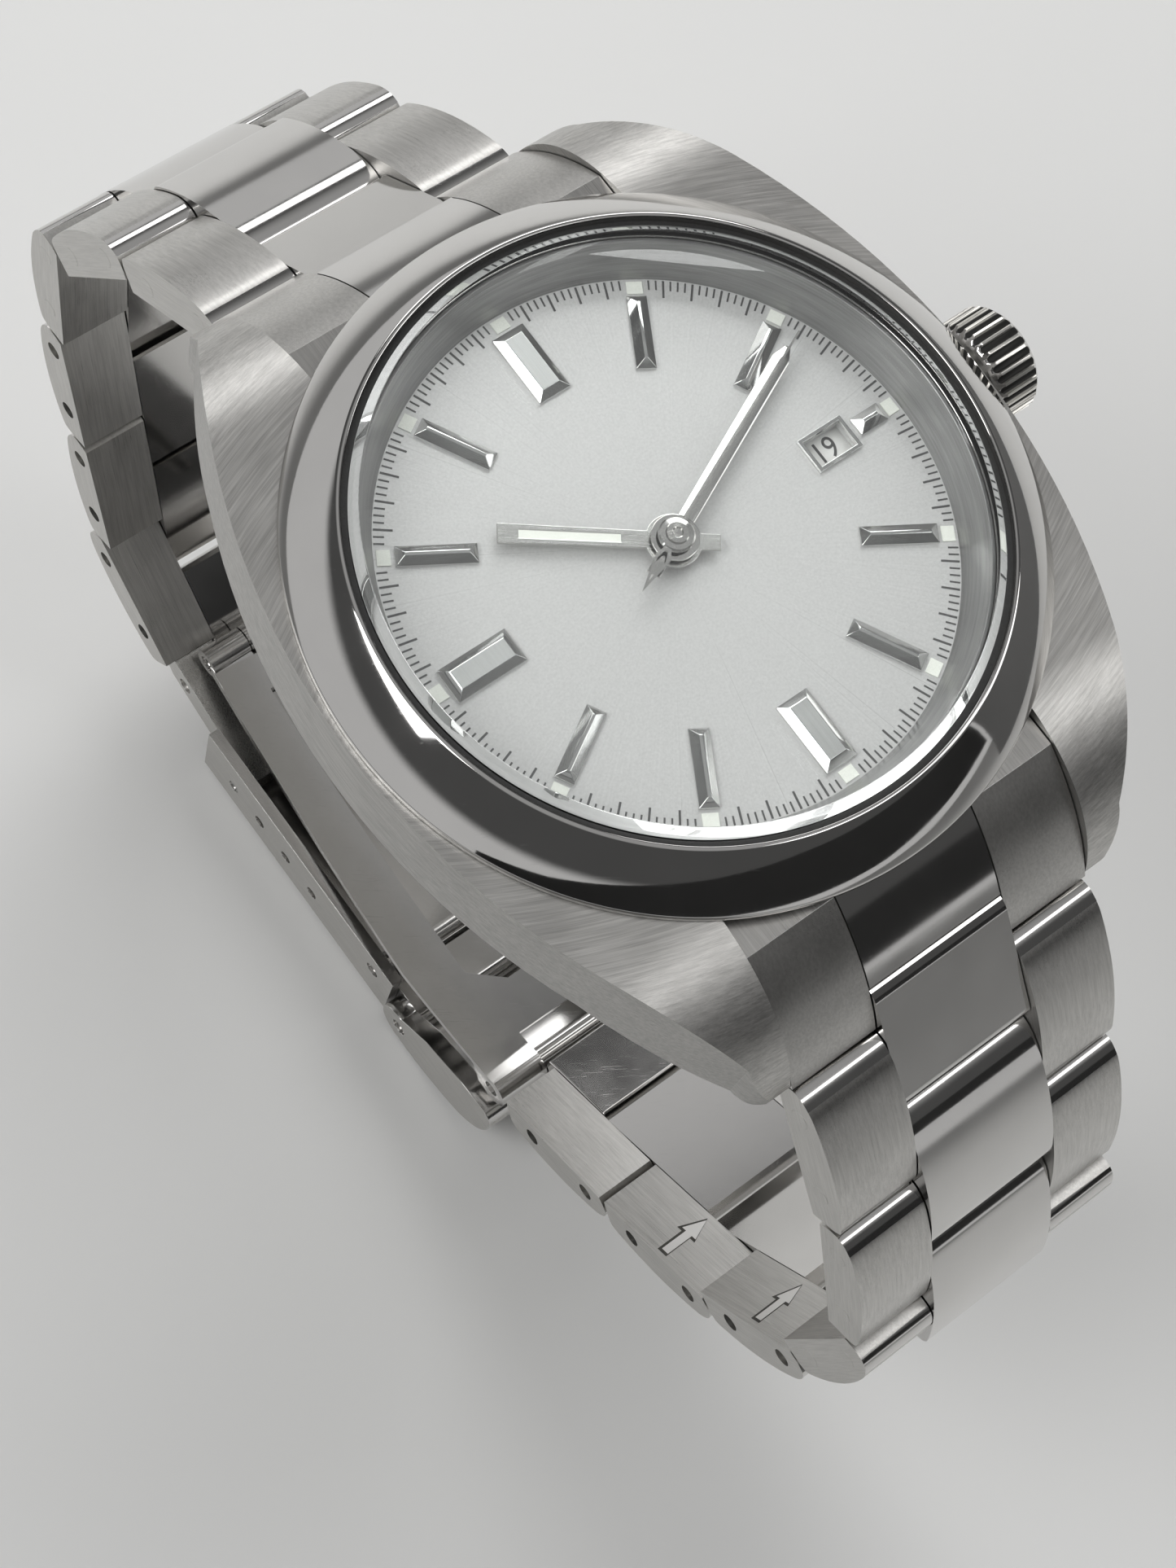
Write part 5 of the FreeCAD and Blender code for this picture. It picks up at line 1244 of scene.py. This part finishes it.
MINUTE_HALF, RIDGE, RIDGE_FOOT = 0.46, 0.15, 0.01
minute_lie, minute_reach = pointing("minute_hand")
minute_top = blade_top("minute_hand")
dress("minute_hand", [hand_bright, hand_bright], width=0.03 * MM, lie=minute_lie)
ridge = bmesh.new()
rings = []
for along, half in ((1.2, 0.44), (minute_reach * 0.93, MINUTE_HALF), (minute_reach * 0.99, 0.16)):
    low = [(-half, -RIDGE_FOOT), (half, -RIDGE_FOOT)]
    high = [(half, RIDGE_FOOT), (0, RIDGE * half / MINUTE_HALF), (-half, RIDGE_FOOT)]
    spots = [minute_lie.back(along, across, minute_top + up) for across, up in low + high]
    rings.append([ridge.verts.new(spot) for spot in spots])
close_rings(ridge, rings)
settle("minute_hand_ridge", ridge, [hand_bright], body_of["minute_hand"],
       lie=minute_lie)
print("hour hand", round(hour_reach, 2), "mm, minute hand", round(minute_reach, 2), "mm")

# %% [markdown]
# The second hand is a needle with an open dagger as its counterweight, under a small polished cap.
# It is drawn anew in one mesh, because the CAD hand is too plain to be dressed: a tapering needle,
# the dagger as a hoop of four rings, and a turned cap on its pipe. It keeps the reach and the
# height of the hand that it stands in for, so that it clears the minute hand and the crystal.

# %% Second hand
second_lie, second_reach = pointing("second_hand")
second_low, second_high = (corner.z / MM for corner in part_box("second_hand"))
BLADE_LOW = 7.9  # just over the minute hand's ridge
BLADE_HIGH = BLADE_LOW + 0.16
second = bmesh.new()
needle = [(-0.9, -0.11), (second_reach, -0.055), (second_reach, 0.055), (-0.9, 0.11)]
prism(second, needle, BLADE_LOW, BLADE_HIGH, lie=second_lie)

dagger_out = [(-0.7, -0.1), (-1.5, -0.42), (-3.7, 0.0), (-1.5, 0.42), (-0.7, 0.1)]
dagger_in = [(-1.1, -0.06), (-1.62, -0.24), (-3.0, 0.0), (-1.62, 0.24), (-1.1, 0.06)]
close_hoop(second, [
    [second.verts.new(second_lie.back(along, across, height)) for along, across in outline]
    for outline, height in (
        (dagger_out, BLADE_LOW), (dagger_out, BLADE_HIGH), (dagger_in, BLADE_HIGH), (dagger_in, BLADE_LOW),
    )
])
lathe(second, [
    (AXIS, second_low), (0.25, second_low), (0.25, BLADE_LOW - 0.02), (0.95, BLADE_LOW - 0.02),
    (0.95, BLADE_LOW + 0.12), (0.86, BLADE_LOW + 0.2), (0.6, BLADE_LOW + 0.22), (0.56, second_high),
    (0.3, second_high), (0.24, second_high - 0.1), (AXIS, second_high - 0.1),
])
bmesh.ops.recalc_face_normals(second, faces=second.faces)
settle("second_hand_piece", second, [hand_bright], body_of["second_hand"],
       ["second_hand"], second_lie)
print("second hand", round(second_reach, 2), "mm, cap top", round(second_high, 2), "mm")

# %% [markdown]
# ## Sapphire
# The crystal is a flat disc of synthetic sapphire, index 1.77, with a polished chamfer that breaks
# daylight into a faint rainbow. A path tracer lets no lamp shine straight through glass, so for
# shadow rays alone the shader becomes a clear one; otherwise the dial would lie in the dark.

# %% Crystal
sapphire = Finish("sapphire", (0.97, 0.985, 0.98), 0.0, 0.0, Transmission_Weight=1.0, IOR=1.77)
haze = sapphire.noise(sapphire.place(), (4.0, 5.0, 4.0), 3.0)
sapphire.feed(Roughness=haze.above(0.62, 0.2) * 0.012)
clear = sapphire.node("ShaderNodeBsdfTransparent")
is_shadow = sapphire.node("ShaderNodeLightPath", out=1)
glass = Value(sapphire, sapphire.shader.outputs[0])
both = sapphire.node("ShaderNodeMixShader", None, {0: is_shadow, 1: glass, 2: clear})
sapphire.set(sapphire.output.inputs[0], both)
CRYSTAL_INSIDE = (8.0, 10.0)  # a radius and height within the sapphire
GUIDES = 1.0  # nearer the axis lie only the two points that guide the fillets
crystal_low, crystal_high = (corner.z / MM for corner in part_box("crystal"))
half_disc = [(AXIS, crystal_low), *section("crystal", CRYSTAL_INSIDE), (AXIS, crystal_high)]
rim = [point for point in filleted(half_disc, radius=0.04) if point[0] > GUIDES]
turn_again("crystal", sapphire, rim, hoop=False)

# %% [markdown]
# ## Movement
# Nothing of the movement shows while the case is shut, but the parts are there and are finished as
# a watchmaker would: spots ground on the main plate, stripes on the bridges and the rotor, gilt
# wheels, blued screws. Their CAD shapes stay, because only the tool marks tell such parts apart.

# %% Plates, bridges and rotor
RHODIUM = (0.6, 0.59, 0.57)


def striped(name, colour, wide=1.7, slope=0.5):
    """Plate with straight ground stripes, each shaded from one edge to the other."""
    plate = Finish(name, colour, 1.0, 0.25)
    x, y, z = plate.parts(plate.place())
    across = ((x + y * slope) / wide) % 1.0
    hair = plate.noise(plate.place(), (0.05, 1.5, 0.4), 2.0)
    plate.feed(Base_Color=plate.mix(across * 0.7 + hair * 0.3, shade(colour, 0.75), shade(colour, 1.2)),
               Roughness=0.18 + across * 0.16)
    return plate.bump(across * 0.8 + hair * 0.2, 0.02)


def spotted(name, colour):
    """Plate covered with small overlapping ground circles."""
    plate = Finish(name, colour, 1.0, 0.3)
    away = plate.cells(plate.place(), 1.1, 0.15)
    rings = (away * 9.0) % 1.0
    plate.feed(Base_Color=plate.mix(rings, shade(colour, 0.85), shade(colour, 1.1)),
               Roughness=0.24 + away * 0.2)
    return plate.bump(rings, 0.006)


coat(spotted("plate_spotted", RHODIUM), "main_plate")
coat(striped("bridge_striped", RHODIUM), "train_bridge", "balance_cock")
coat(striped("rotor_striped", shade(RHODIUM, 0.9), 2.4, -0.4), "rotor")
ring_turned = brushed("ring_turned", shade(RHODIUM, 0.8), rough=0.4, contrast=0.15,
                      grain=Finish.round_grain)
coat(ring_turned, "movement_ring")
print("plates and bridges coated")

# %% [markdown]
# The small parts share one recipe: a colour, a roughness, and the fine marks of the cutter. Only
# the seals are no metal: black rubber, dull and slightly grained.

# %% Wheels, levers, screws and seals
def drawn(name, colour, rough, size=(0.4, 0.4, 0.05)):
    """Small machined metal parts with fine cutter marks."""
    metal = Finish(name, colour, 1.0, rough)
    marks = metal.noise(metal.place(), size, 3.0, 0.6)
    metal.feed(Base_Color=metal.mix(marks, shade(colour, 0.82), shade(colour, 1.12)),
               Roughness=rough + marks * 0.15)
    return metal.bump(marks, 0.002)


coat(drawn("gilt_brass", (0.78, 0.6, 0.28), 0.2), "barrel", "balance_wheel")
coat(drawn("wheel_steel", (0.6, 0.6, 0.6), 0.14), "escape_wheel", "pallet_fork")
coat(drawn("blued_steel", (0.08, 0.12, 0.32), 0.18), "movement_screws")
coat(drawn("ground_steel", (0.52, 0.52, 0.51), 0.26, (0.05, 0.4, 0.4)), "winding_stem", "setting_lever",
     "crown_tube", "spring_bars", "clasp_spring_bar")
rubber = Finish("seal_rubber", (0.02, 0.02, 0.02), 0.0, 0.55)
rubber.bump(rubber.clouded(0.1, (0.012, 0.012, 0.012), (0.035, 0.035, 0.034), 3.0), 0.01)
coat(rubber, "gaskets")
coated = [name for name, node in nodes.items() if not node.hide_render]
print("CAD nodes shown with a new material:", len(coated))

# %% [markdown]
# ## The studio
# Steel has hardly a look of its own: it shows what stands round it. So the studio is a pale floor,
# pale low walls, a dim band above them and a softer ceiling. A black card and a grey one, seen only
# in reflections, stand in front and at the right and give polished steel its dark edges. An even
# white room would be simpler, but steel looks like grey paint in it.

# %% Floor and cards
def plane(name, corners, finish):
    """A flat stage piece from its corners, in millimetres."""
    mesh = bpy.data.meshes.new(name)
    mesh.from_pydata([Vector(corner) * MM for corner in corners], [], [range(len(corners))])
    mesh.materials.append(finish.material)
    item = bpy.data.objects.new(name, mesh)
    bpy.context.scene.collection.objects.link(item)
    item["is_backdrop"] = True
    return item


def only_reflected(item):
    """Hides a stage piece from everything but reflections."""
    item.visible_camera = item.visible_diffuse = item.visible_shadow = False


floor_z = cad_low.z / MM - 0.05  # just clear of the lowest piece
FLOOR_HALF = 3000
CARD_X, CARD_Y, CARD_TOP = 330, -330, 150  # the cards stand at this x and this y
BLACK_FOOT = 22  # the gap under the black card keeps a pale line in the reflections
floor_paint = Finish("floor_paint", (0.72, 0.72, 0.71), 0.0, 0.7)
floor_paint.clouded(60, (0.7, 0.7, 0.69), (0.74, 0.74, 0.73), 3.0)
floor_corners = [(x * FLOOR_HALF, y * FLOOR_HALF, floor_z) for x, y in rectangle(-1, 1, -1, 1)]
plane("floor", floor_corners, floor_paint)
black = [(x, CARD_Y, z) for x, z in rectangle(-900, CARD_X, BLACK_FOOT, CARD_TOP)]
grey = [(CARD_X, y, z) for y, z in rectangle(-320, 260, floor_z, CARD_TOP)]
for name, tone, corners in (("black_card", 0.015, black), ("grey_card", 0.2, grey)):
    only_reflected(plane(name, corners, Finish(name, (tone, tone, tone), 0.0, 0.9)))
print("floor at", round(floor_z, 2), "mm")

# %% [markdown]
# Five soft lamps share the work. The key gives the diffuse light and the shadow, and is kept out of
# reflections, so that the crystal stays clear. The strip, the ridge and the side lamp are there to
# be reflected: each draws a bright band along one set of polished faces. The fill lifts the side
# away from the key. Together they bring a colour out about as it is written.

# %% Lamps
WATCH = (0, 0, -10)


def lamp(name, place, target, size, power):
    """A soft rectangular lamp that looks at a point; lengths in millimetres."""
    light = bpy.data.lights.new(name, "AREA")
    light.shape = "RECTANGLE"
    light.size, light.size_y = size[0] * MM, size[1] * MM
    light.energy = power
    item = bpy.data.objects.new(name, light)
    bpy.context.scene.collection.objects.link(item)
    item.location = Vector(place) * MM
    item.rotation_mode = "QUATERNION"
    item.rotation_quaternion = (Vector(target) - Vector(place)).to_track_quat("-Z", "Y")
    return item


lamp("key", (194, 250, 292), WATCH, (240, 240), power=0.72).visible_glossy = False
lamp("strip", (194, 314, 220), WATCH, (320, 130), power=0.34)
lamp("ridge", (144, -138, 381), WATCH, (260, 60), power=0.12)
lamp("side", (-270, 110, 310), WATCH, (220, 220), power=0.8)
lamp("fill", (320, -160, 260), (0, 0, -20), (160, 240), power=0.25)

# %% [markdown]
# The walls and the ceiling are the world itself. Its strength depends only on how steeply a ray
# goes up: bright near the floor, dim above, and brighter again overhead.

# %% Walls and ceiling
world = bpy.data.worlds.new("studio")
bpy.context.scene.world = world
world.use_nodes = True
room = Nodes(world.node_tree)
way_x, way_y, way_z = room.parts(room.node("ShaderNodeTexCoord"))
wall, ceiling = 1 - way_z.above(0.33, 0.04), way_z.above(0.82, 0.1)
background = world.node_tree.nodes["Background"]
room.set(background.inputs["Strength"], wall * 0.5 + ceiling * 0.3 + 0.08)
room.set(background.inputs["Color"], (1.0, 1.0, 1.0))
print("world:", len(world.node_tree.nodes), "nodes")

# %% [markdown]
# ## Camera
# The watch lies tipped towards a camera that looks down on it from the side of nine o'clock. An
# unturned camera looks straight down; the three angles, in degrees about X, Y and Z, turn it from
# there.

# %% Camera
CAMERA_AT = (-58.13, -32.01, 137.32)
CAMERA_TURN = (19.906, -9.959, -37.144)
camera_data = bpy.data.cameras.new("camera")
camera_data.lens = 66.76
camera_data.sensor_width = 36
camera_data.clip_start = 2 * MM
camera = bpy.data.objects.new("camera", camera_data)
bpy.context.scene.collection.objects.link(camera)
turn = Euler([math.radians(angle) for angle in CAMERA_TURN]).to_matrix()
camera.matrix_world = Matrix.Translation(Vector(CAMERA_AT) * MM) @ turn.to_4x4()
bpy.context.scene.camera = camera
bpy.context.scene.view_settings.view_transform = "Standard"
print("camera at", [round(v / MM) for v in camera.location])

low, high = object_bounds()
differences = [round((a - b) / MM, 3) for a, b in zip([*low, *high], [*cad_low, *cad_high])]
print("visual box less CAD box, mm:", differences)
